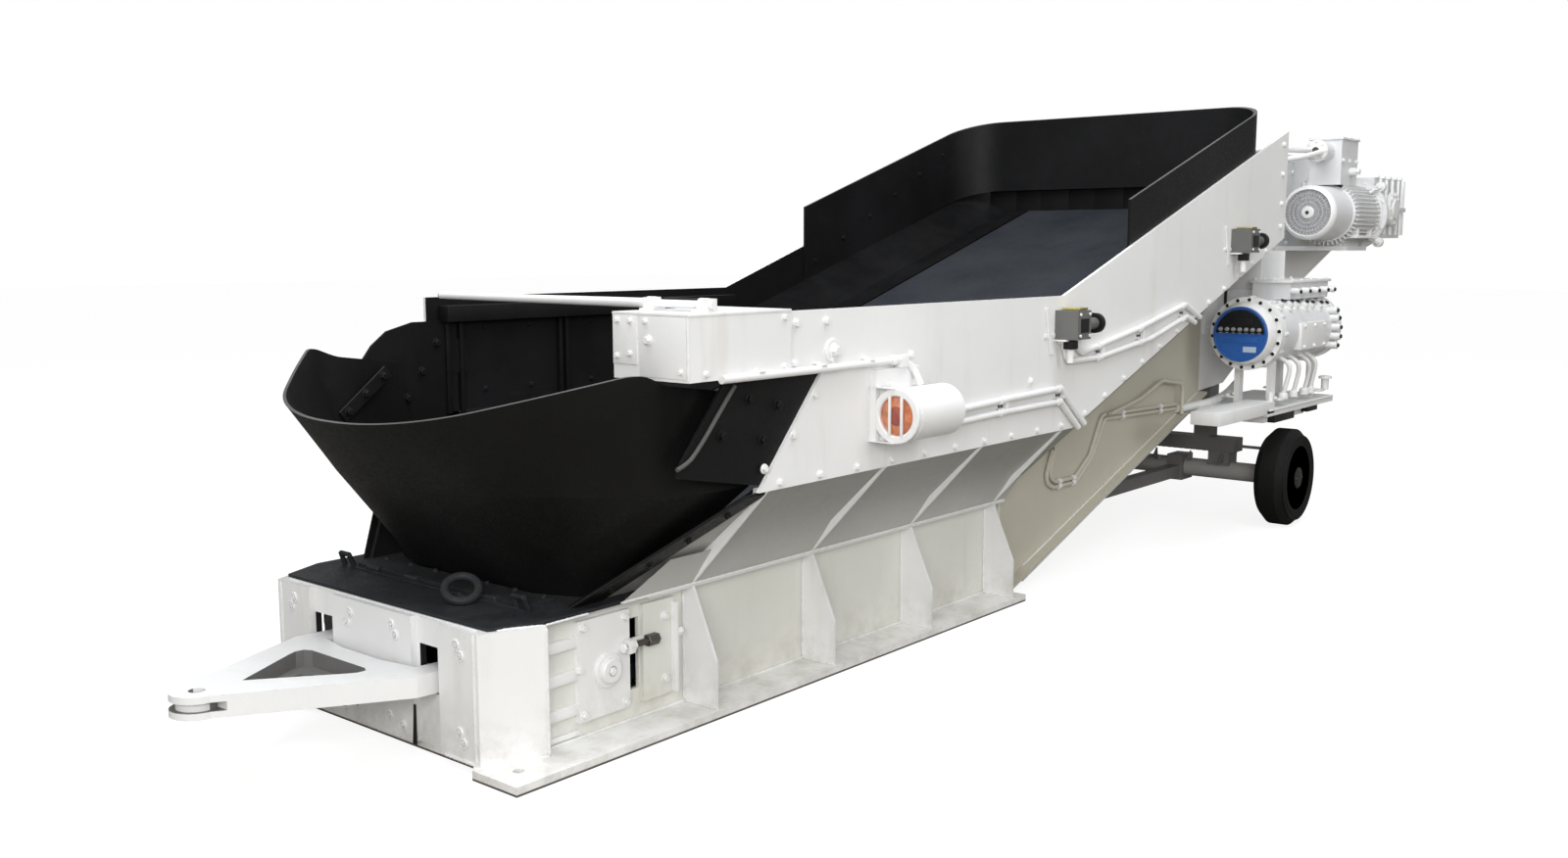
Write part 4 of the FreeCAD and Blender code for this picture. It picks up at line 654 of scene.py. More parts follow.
def make_front_details():
    """Bolts on the front plates, a black plate as painted shade in their slit, and the welds round the
    plates and the deck.
    """
    shape, sockets = Shape(), Shape()
    for sign in (LEFT, RIGHT):
        for y, height in ((0.500, 0.439), (0.522, 0.404), (0.508, 0.132), (0.528, 0.098),
                          (0.130, 0.444), (0.150, 0.410), (0.100, 0.105), (0.180, 0.085)):
            place = at(0.035, sign * y, height)
            shape.lathe([(0.021, 0), (0.021, 0.004), (0.019, 0.006), (0.014, 0.006),
                         (0.012, 0.001)], place, FORE, 24)
            sockets.bolt(place, FORE, 0.009, washer=False, turn=sign * y)
    for y in (0.594, -0.594):
        shape.bead([(0.036, y, 0.04), (0.036, y, 0.488)])
    for sign in (LEFT, RIGHT):
        for radius, *places in (
                (0.005, (0.252, 0.714, 0.04), (0.252, 0.714, 0.488)),
                (0.006, (0.034, 0.42, 0.036), (0.034, 0.59, 0.036), (0.250, 0.718, 0.036)),
                (0.004, (0.085, 0.61, 0.496), (0.255, 0.703, 0.496), (0.455, 0.703, 0.496))):
            shape.bead([(station, sign * y, height) for station, y, height in places], radius)
    shape.bead([(0.062, -0.58, 0.496), (0.062, 0.58, 0.496)], 0.004)
    shape.done("front_bolts", WHITE)
    sockets.done("front_bolt_heads", GREYISH)
    # Painted shade: a thin black plate stands in for the dark slit in the lower front wall.
    slit = Shape()
    slit.plate([at(0.035, 0.236, 0.030), at(0.035, 0.262, 0.030), at(0.035, 0.262, 0.178),
                at(0.035, 0.248, 0.178)], (0.001, 0, 0), 0.0)
    slit.done("wall_slit_shade", PLASTIC_AND_SHADE, slot="black_paint")


def make_deck_details():
    """The lifting ring, the cover's handles and its seam."""
    shape = Shape()
    rows = []
    for x, y in circle(1, 32):
        rows.append([(x * (0.060 + a), y * (0.060 + a), b) for a, b in circle(0.0155, 10)])
    shape.solid(rows, caps=False, matrix=facing(at(0.245, 0.262, 0.556), (0.34, 0.46, 0.82)))
    shape.boxes(0.004, (0.280, 0.217, DECK_TOP, 0.210, 0.307, 0.518))
    shape.rod((0.259, 0.232, 0.524), (0.231, 0.292, 0.524), 0.012)
    for y in (-0.592, 0.480):
        shape.rod((0.318, y, DECK_TOP), (0.300, y, 0.560), 0.010)
        shape.rod((0.300, y, 0.556), (0.300, y + 0.062, 0.556), 0.010)
        shape.rod((0.300, y + 0.058, 0.556), (0.322, y + 0.058, 0.508), 0.010)
    for y in (-0.40, -0.15, 0.32):
        shape.rod((0.322, y - 0.04, 0.516), (0.322, y + 0.04, 0.516), 0.010)
        shape.boxes(0.002, (0.350, y - 0.032, 0.519, 0.318, y + 0.032, 0.525))
    shape.boxes(0.001, (0.322, -0.53, DECK_TOP, 0.300, 0.53, 0.511))
    shape.bolts(grid(0.440, walk(-0.48, 0.48, 7), 0.520), UP, 0.008, "y")
    shape.done("deck_fittings", DECK)


def make_tension_details():
    """The shaft's cap and the tensioning bolt on each slide, and the rails behind it."""
    white, dark = Shape(), Shape()
    face, wall = 0.680, 0.660
    shaft = at(0.560, face, 0.262)
    white.lathe([(0.066, 0), (0.066, 0.008), (0.061, 0.012), (0.050, 0.012)], shaft, OUT, 32)
    white.lathe([(0.046, 0.011), (0.046, 0.026), (0.041, 0.031), (0.020, 0.031), (0.018, 0.022)],
                shaft, OUT, 32)
    white.bolt(at(0.560, face + 0.022, 0.262), OUT, 0.015, washer=False)
    white.bolts([*grid((0.445, 0.648), face, (0.440, 0.122)), (0.425, face, 0.290)], OUT, 0.012, "h")
    for height in (0.395, 0.275, 0.150):
        white.boxes(0.004, (0.43, wall, height - 0.020, 0.262, 0.678, height + 0.020))
    white.boxes(0.003, (0.43, wall, 0.052, 0.262, 0.672, 0.070))
    y = face + 0.016
    for station in (0.620, 0.650, 0.672):
        white.rod((station + 0.011, y, 0.330), (station, y, 0.330), 0.020, 6)
    white.boxes(0.004, (0.672, face, 0.305, 0.640, face + 0.034, 0.356))
    dark.rod((0.790, y, 0.330), (0.640, y, 0.330), 0.012)
    dark.rod((0.800, face + 0.014, 0.330), (0.745, face + 0.014, 0.330), 0.023, 6)
    white.bolts(grid(0.852, face, (0.400, 0.160)), OUT, 0.013)
    white.boxes(0.003, (0.905, wall, 0.100, 0.889, 0.705, 0.450))
    white.rod((0.93, 0.69, 0.330), (0.905, 0.69, 0.330), 0.019, 6)
    white.done("tension_fittings", WHITE, mirror=True)
    dark.done("tension_screws", DARK_STEEL, mirror=True)


def make_box_details():
    """The lid, cover plate and bolts of the box over the apron, and the feeler's fittings."""
    shape = Shape()
    face, rear, line = 0.551, 0.561, 1.579
    shape.boxes(0.002, (1.090, 0.742, 1.545, face, 1.104, 1.5545), (rear, 0.745, 1.375, face, 0.862, 1.545),
                (rear, 0.875, 1.336, face, 1.094, 1.543))
    shape.bolts([(face, y, height) for y, height in (
        (0.768, 1.525), (0.766, 1.402), (0.832, 1.525), (0.830, 1.412), (0.919, 1.461),
        (0.905, 1.525), (1.070, 1.360))], FORE, 0.0085, "y")
    shape.bolt(at(face, 0.919, 1.461), FORE, 0.013)
    shape.bolts([(0.64, 1.101, 1.350), (1.052, 1.101, 1.350), (1.052, 1.101, 1.525)], OUT, 0.009, "h")
    shape.bead([(0.554, 1.1015, 1.33), (0.554, 1.1015, 1.545)], 0.004)
    for y in (0.790, 1.041):
        shape.boxes(0.002, (0.745, y - 0.020, 1.553, 0.655, y + 0.020, 1.563))
        shape.bolts(grid((0.730, 0.672), y, 1.563), UP, 0.008)
        shape.lathe([(0.020, -0.022), (0.0235, -0.018), (0.0235, 0.018), (0.020, 0.022)],
                    at(0.700, y, line), OUT, 20)
    shape.done("box_fittings", WHITE)
    tip, sleeve = Shape(), Shape()
    tip.rod((0.700, -0.395, line), (0.700, -0.432, line + 0.001), 0.009)
    tip.rod((0.752, 0.800, 1.590), (0.752, 1.040, 1.590), 0.009)
    tip.done("feeler_tip", PLASTIC_AND_SHADE)
    sleeve.lathe([(0.0135, 0.0), (0.0145, 0.01), (0.0155, 0.5), (0.0175, 1.1), (0.0175, 1.165)],
                 at(0.700, -0.395, line), OUT, 20)
    sleeve.done("feeler_sleeve", WHITE)


def make_trough_edges():
    """The pale strip along each trough wall's lower edge, and the seam where it starts."""
    shape = Shape()
    face, start, end = TROUGH + 0.0005, 3.55, 5.74
    shape.plate([at(start, face, 0.018), at(end, face, 0.767), at(end, face, 0.852),
                 at(start, face, 0.103)], (0, 0.005, 0), 0.0)
    shape.bead([(start, face + 0.003, 0.103), (end, face + 0.003, 0.852)], 0.005, 0.02)
    shape.boxes(0.0, (3.290, face, 0.20, 3.284, face + 0.012, 0.86))
    shape.done("trough_edges", WARM_SHADE_WHITE, mirror=True)


# ---------------------------------------------------------------- lamp and conduits

def make_lamp_details():
    """The lamp's ring and lens bars, its bracket, and the open shroud beside it."""
    line = (1.207, 1.126)
    front = at(1.600, *line)
    white, bars = Shape(), Shape()
    white.lathe([(0.078, -0.010), (0.106, -0.010), (0.108, -0.006), (0.108, 0.002), (0.105, 0.006),
                 (0.083, 0.006), (0.078, 0.002)], front, FORE, 48, hollow=True)
    white.lathe([(0.1065, 0), (0.1085, 0.002), (0.1085, 0.018), (0.1065, 0.020)],
                at(1.640, *line), FORE, 48, hollow=True)
    for y in (1.180, 1.236):
        bars.boxes(0.002, (1.598, y - 0.0055, 1.050, 1.590, y + 0.0055, 1.202))
    white.boxes(0.003, (1.872, SIDE, 1.236, 1.597, 1.096, 1.312))
    white.bolts(grid((1.622, 1.735, 1.848), 1.096, 1.282), OUT, 0.011, "s")
    white.slices(0.002, (1.650, 1.850), 0.005, (1.086, 1.224, 1.150, 1.250))
    white.boxes(0.0, (1.625, 1.086, 1.018, 1.620, 1.204, 1.235),
                (1.625, 1.086, 1.018, 1.580, 1.090, 1.235),
                (1.625, 1.086, 1.018, 1.585, 1.204, 1.022),
                (1.625, 1.086, 1.231, 1.585, 1.204, 1.235))
    white.bolts(grid((1.68, 1.82), SIDE, 1.002), OUT, 0.009, "s")
    white.done("lamp_guard", WHITE)
    bars.done("lamp_bars", WHITE)
    glass, core = Shape(), Shape()
    glass.lathe([(0.0795, 0), (0.077, 0.004), (0.062, 0.008), (0.045, 0.011), (0.020, 0.013)],
                at(1.612, *line), FORE, 40)
    # The dome takes the paler amber as painted light; the bulb behind it takes the deeper amber.
    glass.done("lamp_dome", PAINTED_LIGHT_AMBER)
    core.lathe([(0.040, 0), (0.038, 0.006), (0.020, 0.008)], at(1.606, *line), FORE, 30)
    core.done("lamp_bulb", LENS)


def make_clamps():
    """Clips that hold the conduits and cables, with their screws."""
    shape, dark = Shape(), Shape()

    def bow(y, height, radius):
        """Half a circle round a pipe, at a clip's rear side."""
        return [(-0.016, y + 0.015 + radius * math.sin(math.pi * i / 8),
                 height + radius * math.cos(math.pi * i / 8)) for i in range(9)]

    for y, grip, places in (
            (SIDE, 0.0155, ((2.140, 1.085, 1.033), (2.560, 1.098, 1.044), (3.085, 1.109, 1.047),
                            (3.480, 1.292, 1.233), (3.930, 1.355, 1.283), (4.450, 1.453, 1.383))),
            (TROUGH, 0.0125, ((4.060, 0.510, 0.483), (3.900, 0.511, 0.484), (4.640, 0.820, 0.794),
                              (5.150, 0.808, 0.781)))):
        for station, high, low in places:
            shape.slices(0.002, (station,), 0.020, (y, low + grip, y + 0.008, high - grip))
            for height in (high, low):
                ring = bow(y, height, grip - 0.001) + bow(y, height, grip + 0.004)[::-1]
                shape.solid([ring, [(x + 0.032, b, c) for x, b, c in ring]],
                            matrix=Matrix.Translation(at(station, 0, 0)))
            dark.bolts(grid((station - 0.012, station + 0.012), y + 0.008, (high + low) / 2), OUT,
                       0.0065, washer=False)
    for station, height in ((2.610, 1.050), (3.135, 1.060), (3.530, 1.240), (3.980, 1.300)):
        shape.boxes(0.003, (station + 0.016, SIDE, height, station - 0.012, 1.107, height + 0.045))
    shape.boxes(0.004, (3.262, SIDE, 1.318, 3.090, 1.120, 1.350))
    stations = (0.90, 1.25, 1.55)
    shape.slices(0.002, stations, 0.015, (SIDE, 1.330, 1.103, 1.352), (SIDE, 1.340, 1.133, 1.346))
    shape.bolts(grid(stations, 1.103, 1.345), OUT, 0.007)
    shape.rod((1.695, 1.116, 1.332), (1.745, 1.116, 1.331), 0.020)
    shape.boxes(0.006, (1.790, 1.098, 1.300, 1.735, 1.134, 1.350))
    shape.done("conduit_clips", WHITE)
    dark.done("clip_screws", DARK_STEEL)


def make_leads():
    """The lamp's lead and the hoses that reach the starter's shelf."""
    pipes("lamp_lead", [[(1.700, 1.116, 1.332), (1.760, 1.116, 1.325), (1.81, 1.120, 1.318),
                         (1.846, 1.128, 1.28), (1.85, 1.15, 1.225)]], 0.0145, WHITE)
    pipes("shelf_hoses", [
        [(5.40, 0.70, 0.775), (5.47, 0.73, 0.785), (5.60, 0.78, 0.80), (5.70, 0.80, 0.808),
         (5.92, 0.80, 0.845), (6.03, 0.80, 0.895)],
        [(5.40, 0.672, 0.775), (5.52, 0.69, 0.76), (5.66, 0.73, 0.735), (5.85, 0.80, 0.73)],
    ], 0.026, GREYISH)


# ---------------------------------------------------------------- stop switches

def make_switch_details():
    """The slanted bracket, base, gland and yellow collar of each stop switch."""
    white, dark, yellow = Shape(), Shape(), Shape()
    for front, height in ((3.060, 1.412), (5.130, 1.810)):
        def box(shape, bevel, rear, y, low, fore, far_y, high):
            """A block placed from the switch's front and its height."""
            shape.boxes(bevel, (front + rear, y, height + low, front + fore, far_y, height + high))

        high, low = at(front - 0.105, SIDE, height + 0.080), at(front - 0.045, SIDE, height - 0.140)
        width = Vector((-0.022, 0, 0))
        white.plate([low, high, high + width, low + width], (0, 0.012, 0), 0.002)
        box(white, 0.002, -0.006, SIDE, -0.060, -0.100, 1.093, -0.040)
        box(white, 0.002, 0.135, SIDE, -0.078, -0.010, 1.150, -0.069)
        box(dark, 0.004, 0.075, 1.120, -0.115, 0.020, 1.170, -0.074)
        white.rod((front + 0.048, 1.145, height - 0.112), (front + 0.048, 1.145, height - 0.180), 0.017)
        box(dark, 0.0, 0.100, 1.2065, -0.035, 0.030, 1.211, 0.030)
        box(yellow, 0.003, 0.125, 1.100, 0.069, 0.040, 1.190, 0.080)
        white.bolts(grid((front + 0.02, front + 0.11), 1.207, (height - 0.05, height + 0.05)), OUT,
                    0.007, washer=False)
        yellow.lathe([(0.029, 0), (0.033, 0.004), (0.033, 0.062), (0.030, 0.068)],
                     at(front + 0.135, 1.1465, height), AFT, 30)
        dark.lathe([(0.030, 0), (0.047, 0.004), (0.0495, 0.012), (0.046, 0.024), (0.030, 0.031),
                    (0.010, 0.033)], at(front + 0.243, 1.1465, height), AFT, 30)
    white.done("switch_brackets", WHITE)
    dark.done("switch_covers", PLASTIC_AND_SHADE)
    yellow.done("switch_rings", BRASS)


# ---------------------------------------------------------------- motor and gear unit

def make_motor_details():
    """Cowl shoulder, grille, cooling fins, flange legs and terminal box fittings."""
    line = (1.020, 2.000)
    front = at(6.600, *line)
    white, grey, dark = Shape(), Shape(), Shape()
    white.lathe([(0.1795, -0.01), (0.181, 0.0), (0.180, 0.014), (0.174, 0.027), (0.166, 0.037),
                 (0.158, 0.043), (0.153, 0.044), (0.150, 0.040), (0.149, 0.0)], front, FORE, 56,
                hollow=True)
    grey.lathe([(0.150, 0.0), (0.150, 0.022), (0.149, 0.023)], front, FORE, 48)
    grey.spokes(front, FORE, angles(40), (0.040, -0.0026, 0.020), (0.150, 0.0026, 0.034), 0.0)
    for radius in (0.068, 0.096, 0.124):
        grey.lathe([(radius - 0.003, 0.022), (radius - 0.003, 0.0345), (radius + 0.003, 0.0345),
                    (radius + 0.003, 0.022)], front, FORE, 48, hollow=True)
    white.lathe([(0.041, 0.02), (0.041, 0.038), (0.036, 0.044), (0.016, 0.046)], front, FORE, 28)
    dark.lathe([(0.013, 0.044), (0.012, 0.049), (0.004, 0.050)], front, FORE, 16)
    under_box = [angle for angle in angles(44, math.pi / 44) if math.sin(angle) <= 0.93]
    white.spokes(at(7.415, *line), FORE, under_box, (0.183, -0.0028, 0.0), (0.216, 0.0028, 0.478), 0.001)
    white.lathe([(0.190, 0), (0.222, 0.001), (0.222, 0.018), (0.190, 0.022)], at(7.430, *line),
                FORE, 56)
    for angle in (0.78, 2.36, 3.93, 5.50):
        y, z = line[0] + 0.272 * math.cos(angle), line[1] + 0.272 * math.sin(angle)
        white.lathe([(0.034, 0), (0.034, 0.036), (0.030, 0.040)], at(7.470, y, z), FORE, 20)
        white.bolt(at(7.430, y, z), FORE, 0.013, turn=angle)
        white.spokes(at(7.470, *line), FORE, (angle,), (0.205, -0.012, 0.036), (0.250, 0.012, 0.130),
                     0.003)
    white.bolt_circle(at(7.430, *line), FORE, 0.236, 8, 0.011, 0.39)
    for y in (0.86, 1.18):
        white.boxes(0.004, (7.35, y - 0.035, 1.833, 6.98, y + 0.035, 1.852))
        white.bolts(grid((7.03, 7.30), y, 1.852), UP, 0.014, "s")
        white.slices(0.003, (7.03, 7.30), 0.012, (y - 0.03, 1.85, y + 0.03, 1.90))
    centre = at(6.69, 1.02, 2.405)
    white.lathe([(0.074, 0), (0.074, 0.016), (0.070, 0.020), (0.050, 0.022), (0.050, 0.034),
                 (0.030, 0.036)], centre, FORE, 30)
    white.bolt_circle(at(6.67, 1.02, 2.405), FORE, 0.061, 8, 0.0075)
    dark.lathe([(0.026, 0.034), (0.024, 0.040), (0.004, 0.041)], centre, FORE, 20)
    white.boxes(0.004, (7.20, 0.905, 2.488, 6.85, 1.135, 2.502))
    stations = (6.89, 7.02, 7.16)
    white.bolts(grid(stations, (0.912, 1.128), 2.502), UP, 0.008, "sy")
    white.bolts(grid(stations, 1.125, 2.35), OUT, 0.011, "s")
    white.rod((7.05, 1.125, 2.28), (7.05, 1.165, 2.28), 0.028)
    white.rod((7.05, 1.165, 2.28), (7.05, 1.190, 2.28), 0.021, 6)
    white.done("motor_fittings", WHITE)
    grey.done("motor_grille", GRILLE_SHADE_WHITE)
    dark.done("motor_centre", DARK_STEEL)
    pipes("motor_leads", [
        [(6.67, 0.985, 2.412), (6.50, 0.97, 2.405), (6.30, 0.95, 2.398), (6.16, 0.90, 2.395),
         (6.10, 0.82, 2.39), (6.10, 0.665, 2.37)],
        [(6.67, 1.055, 2.398), (6.54, 1.05, 2.375), (6.40, 1.02, 2.350), (6.26, 0.92, 2.330),
         (6.22, 0.80, 2.30), (6.22, 0.665, 2.26)],
    ], 0.019, WHITE)


def make_gear_details():
    """Ribs, covers, plugs and bolts of the gear unit, and the frame beside it."""
    white, dark = Shape(), Shape()
    white.slices(0.004, (7.56, 7.70, 7.84, 7.98, 8.10), 0.012, (0.680, 2.258, 1.165, 2.276),
                 (1.168, 1.86, 1.186, 2.25))
    white.boxes(0.005, (8.145, 0.70, 2.03, 7.48, 1.190, 2.060))
    stations = (7.53, 7.63, 7.77, 7.91, 8.05)
    white.bolts(grid(stations, 1.176, 2.060), UP, 0.012, "s")
    white.bolts(grid(stations, 1.176, 2.030), (0, 0, -1), 0.012, "s")
    white.lathe([(0.122, 0), (0.122, 0.022), (0.112, 0.030), (0.078, 0.032), (0.070, 0.044),
                 (0.030, 0.046)], at(7.84, 1.170, 2.045), OUT, 36)
    white.bolt_circle(at(7.84, 1.198, 2.045), OUT, 0.098, 8, 0.011)
    white.rod((7.66, 0.95, 2.258), (7.66, 0.95, 2.300), 0.022, 6)
    white.rod((7.96, 0.85, 2.258), (7.96, 0.85, 2.310), 0.018)
    white.bolt(at(7.60, 1.170, 1.89), OUT, 0.018)
    white.lathe([(0.105, 0), (0.105, 0.018), (0.095, 0.026), (0.040, 0.028)], at(8.140, 0.93, 2.05),
                AFT, 32)
    white.bolt_circle(at(8.166, 0.93, 2.05), AFT, 0.080, 8, 0.010)
    white.boxes(0.003, (8.18, 0.664, 1.86, 7.45, 0.676, 2.24))
    white.bolts(grid((6.05, 6.45, 6.85, 7.25, 7.62, 8.02), FRAME, (2.38, 2.30)), OUT, 0.012, "s")
    white.bolts(grid((6.35, 6.62, 6.90, 7.18), FRAME, 1.80), OUT, 0.013, "s")
    white.boxes(0.004, (6.42, FRAME, 1.22, 5.78, 0.672, 1.60))
    white.bolts(grid((5.83, 6.10, 6.37), 0.672, (1.26, 1.56)), OUT, 0.012, "sh")
    white.slices(0.003, (6.12, 6.52), 0.010, (FRAME, 1.50, 0.90, 1.75))
    white.bead([(6.60, 0.664, 1.745), (8.10, 0.664, 1.745)], 0.006, 0.02)
    white.done("gear_fittings", WHITE)
    dark.boxes(0.004, (6.10, 0.672, 1.640, 5.99, 0.735, 1.690), (6.28, 0.672, 1.645, 6.18, 0.735, 1.695),
               (6.49, 0.672, 1.655, 6.42, 0.720, 1.700))
    dark.done("frame_sensors", PLASTIC_AND_SHADE)
    pipes("frame_leads", [
        [(6.30, 0.668, 2.10), (6.36, 0.70, 2.02), (6.42, 0.71, 1.92), (6.44, 0.70, 1.82),
         (6.45, 0.695, 1.70)],
        [(6.05, 0.72, 1.665), (5.98, 0.73, 1.60), (5.95, 0.72, 1.45), (6.02, 0.72, 1.30)],
    ], 0.010, PLASTIC_AND_SHADE)


# ---------------------------------------------------------------- starter

def make_starter_details():
    """The starter's dial face, collar, ringed bolts, glands, cables and feet."""
    line = (1.010, 1.245)
    front = at(5.520, *line)
    white, blue, dark, light, knobs = Shape(), Shape(), Shape(), Shape(), Shape()

    def on_face(shape, bevel, y, z, along, far_y, far_z, far):
        """A block on the dial, placed from its middle."""
        shape.block(front + Vector((along, y, z)), front + Vector((far, far_y, far_z)), bevel)

    white.lathe([(0.168, -0.086), (0.194, -0.086), (0.196, -0.076), (0.182, -0.030), (0.176, -0.014),
                 (0.170, -0.008), (0.168, -0.010)], front, FORE, 64, hollow=True)
    blue.lathe([(0.168, -0.02), (0.168, 0.004), (0.164, 0.007), (0.160, 0.007), (0.157, 0.0)],
               front, FORE, 64, hollow=True)
    arc = [math.radians(2 + 176 * i / 28) for i in range(29)]
    dark.plate([front + Vector((0.001, 0.150 * math.cos(a), 0.150 * math.sin(a))) for a in arc],
               (0.006, 0, 0), 0.0015)
    for y in walk(-0.120, 0.120, 7):
        knobs.lathe([(0.013, 0), (0.013, 0.006), (0.009, 0.008), (0.008, 0.024), (0.004, 0.026)],
                    front + Vector((0.006, y, 0.030)), FORE, 16)
        on_face(knobs, 0.0, y - 0.010, 0.006, 0.007, y + 0.010, 0.010, 0.009)
    on_face(light, 0.0, 0.022, -0.108, 0.0, 0.102, -0.074, 0.004)
    on_face(blue, 0.002, -0.110, -0.050, 0.0, 0.112, -0.018, 0.004)
    on_face(dark, 0.003, -0.075, 0.056, 0.006, 0.075, 0.096, 0.010)
    ring = at(5.610, *line)
    dark.bolt_circle(ring, FORE, 0.2085, 18, 0.0105, 0.1)
    for y, z in circle(0.2085, 18, 0.1):
        white.lathe([(0.0145, -0.004), (0.0145, 0.003), (0.012, 0.004)], ring + Vector((0, y, z)),
                    FORE, 14)
    white.lathe([(0.201, 0), (0.2225, 0.004), (0.2225, 0.030), (0.201, 0.034)],
                at(5.700, *line), FORE, 56, hollow=True)
    for y, z in circle(0.214, 12):
        if line[1] + z > 1.06:
            white.lathe([(0.017, 0), (0.017, 0.05), (0.012, 0.055)],
                        at(5.715, line[0] + y, line[1] + z), FORE, 12)
    white.boxes(0.010, (6.44, 1.150, 1.130, 5.98, 1.224, 1.300))
    white.bolts(grid((6.03, 6.21, 6.39), 1.224, (1.150, 1.280)), OUT, 0.010, "s")
    for number in range(7):
        station, step, drop = 5.78 + 0.135 * number, 0.01 * (number % 2), 0.006 * number
        slant = (0, 0.55, 0.83)
        white.lathe([(0.034, 0), (0.034, 0.020), (0.026, 0.026), (0.024, 0.052), (0.018, 0.056)],
                    at(station, 1.13 + step, 1.392 - drop), slant, 16)
        dark.bolt(at(station, 1.165 + step, 1.444 - drop), slant, 0.012, washer=False, turn=number)
        white.bolt(at(station + 0.06, 1.090, 1.4275), (0, 0.4, 0.9), 0.012, turn=number)
    white.boxes(0.005, (6.72, 0.875, 1.548, 5.985, 1.145, 1.566))
    for station in (6.03, 6.20, 6.37, 6.54, 6.67):
        white.bolts(grid(station, (0.892, 1.128), 1.566), UP, 0.009, "sy")
        white.rod((station, 1.130, 1.500), (station, 1.185, 1.495), 0.020)
        dark.bolt(at(station, 1.185, 1.495), OUT, 0.011, washer=False, turn=station)
    white.lathe([(0.200, 0), (0.214, 0.001), (0.214, 0.030), (0.150, 0.050), (0.030, 0.054)],
                at(6.700, *line), AFT, 56)
    white.bolt_circle(at(6.728, *line), AFT, 0.196, 14, 0.010)
    for height, end in ((1.36, 1.235), (1.31, 1.250), (1.25, 1.260), (1.19, 1.260), (1.13, 1.245)):
        white.rod((6.60, 1.12, height), (6.60, end, height), 0.024)
        dark.bolt(at(6.60, end, height), OUT, 0.012, washer=False, turn=height)
    for station, y in product((5.79, 6.49), (0.86, 1.16)):
        white.slices(0.003, (station,), 0.05, (y - 0.04, 0.830, y + 0.04, 0.842))
        white.bolt(at(station - 0.05, y, 0.842), UP, 0.012, turn=y)
    white.bead([(5.53, 1.204, 0.786), (6.69, 1.204, 0.786)], 0.005, 0.02)
    white.rod((5.64, 1.17, 0.832), (5.64, 1.17, 0.890), 0.016)
    white.rod((6.62, 1.17, 0.832), (6.62, 1.17, 0.905), 0.024)
    white.lathe([(0.042, 0), (0.042, 0.014), (0.030, 0.018)], at(6.62, 1.17, 0.905), UP, 18)
    for station in (5.87, 6.04, 6.24, 6.34):
        white.lathe([(0.030, 0), (0.030, 0.030), (0.022, 0.040)], at(station, 1.165, 0.830), UP, 16)
    white.boxes(0.006, (5.64, 1.02, 0.762, 4.80, 1.200, 0.838), (6.30, 0.700, 0.700, 5.60, 1.150, 0.750))
    dark.boxes(0.004, (6.00, 1.120, 0.700, 5.66, 1.195, 0.748), (6.42, 1.150, 0.716, 6.24, 1.196, 0.748))
    white.done("starter_fittings", WHITE)
    blue.done("starter_bezel", BLUE)
    dark.done("starter_dark_parts", PLASTIC_AND_SHADE)
    light.done("starter_label", LABEL)
    knobs.done("starter_knobs", KNOB)
    pipes("starter_leads", [
        [(station, 1.130, 1.090), (station, 1.190, 1.065), (station + 0.02, 1.205, 1.02),
         (low, 1.185, 0.95), (low, 1.165, 0.862)]
        for station, low in ((5.86, 5.87), (6.02, 6.05), (6.20, 6.25), (6.32, 6.35))], 0.014, WHITE)


# ---------------------------------------------------------------- deflector, belt and running gear

def make_deflector_details():
    """The bolts of the rubber wall over the incline, and the curtain under its rear edge."""
    shape = Shape()
    for station in walk(3.95, 5.35, 6):
        for sign in (LEFT, RIGHT):
            shape.bolt(at(station, sign * 1.055, 1.640 + (station - 3.85) * 0.505), (0, -sign, 0),
                       0.010, turn=station)
    shape.done("deflector_bolts", BLACK)
    curtain = Shape()
    strips, width = 9, 1.80
    for number in range(strips):
        low, lean = width * (number / strips - 0.5), 0.006 * (number % 2)
        curtain.boxes(0.002, (5.735 + lean, low, 1.950, 5.727 + lean, low + width / strips + 0.01, 2.400))
    curtain.done("discharge_curtain", RUBBER)


def make_belt_details():
    """Bolts on the liners, and a rubber seal under the gap at each edge of the belt."""
    def under_belt(station, y):
        """A place just below the belt's carrying face."""
        return at(station, y, 0.435 + (station - 0.560) * 0.307 - 0.016)

    seal = Shape()
    low, high, inner, outer = 1.06, 5.96, 0.586, 0.640
    seal.plate([under_belt(low, inner), under_belt(high, inner), under_belt(high, outer),
                under_belt(low, outer)], (0, 0, -0.006), 0.0)
    seal.done("belt_seals", RUBBER, mirror=True)
    shape = Shape()
    for station in walk(3.45, 6.42, 12):
        for sign in (LEFT, RIGHT):
            place = at(station, sign * 0.86, 0.738 + (station - EDGE_TURN) * EDGE_RISE)
            shape.bolt(place, (0, -sign * 0.45, 0.89), 0.012, turn=station)
    shape.done("liner_bolts", BLACK)


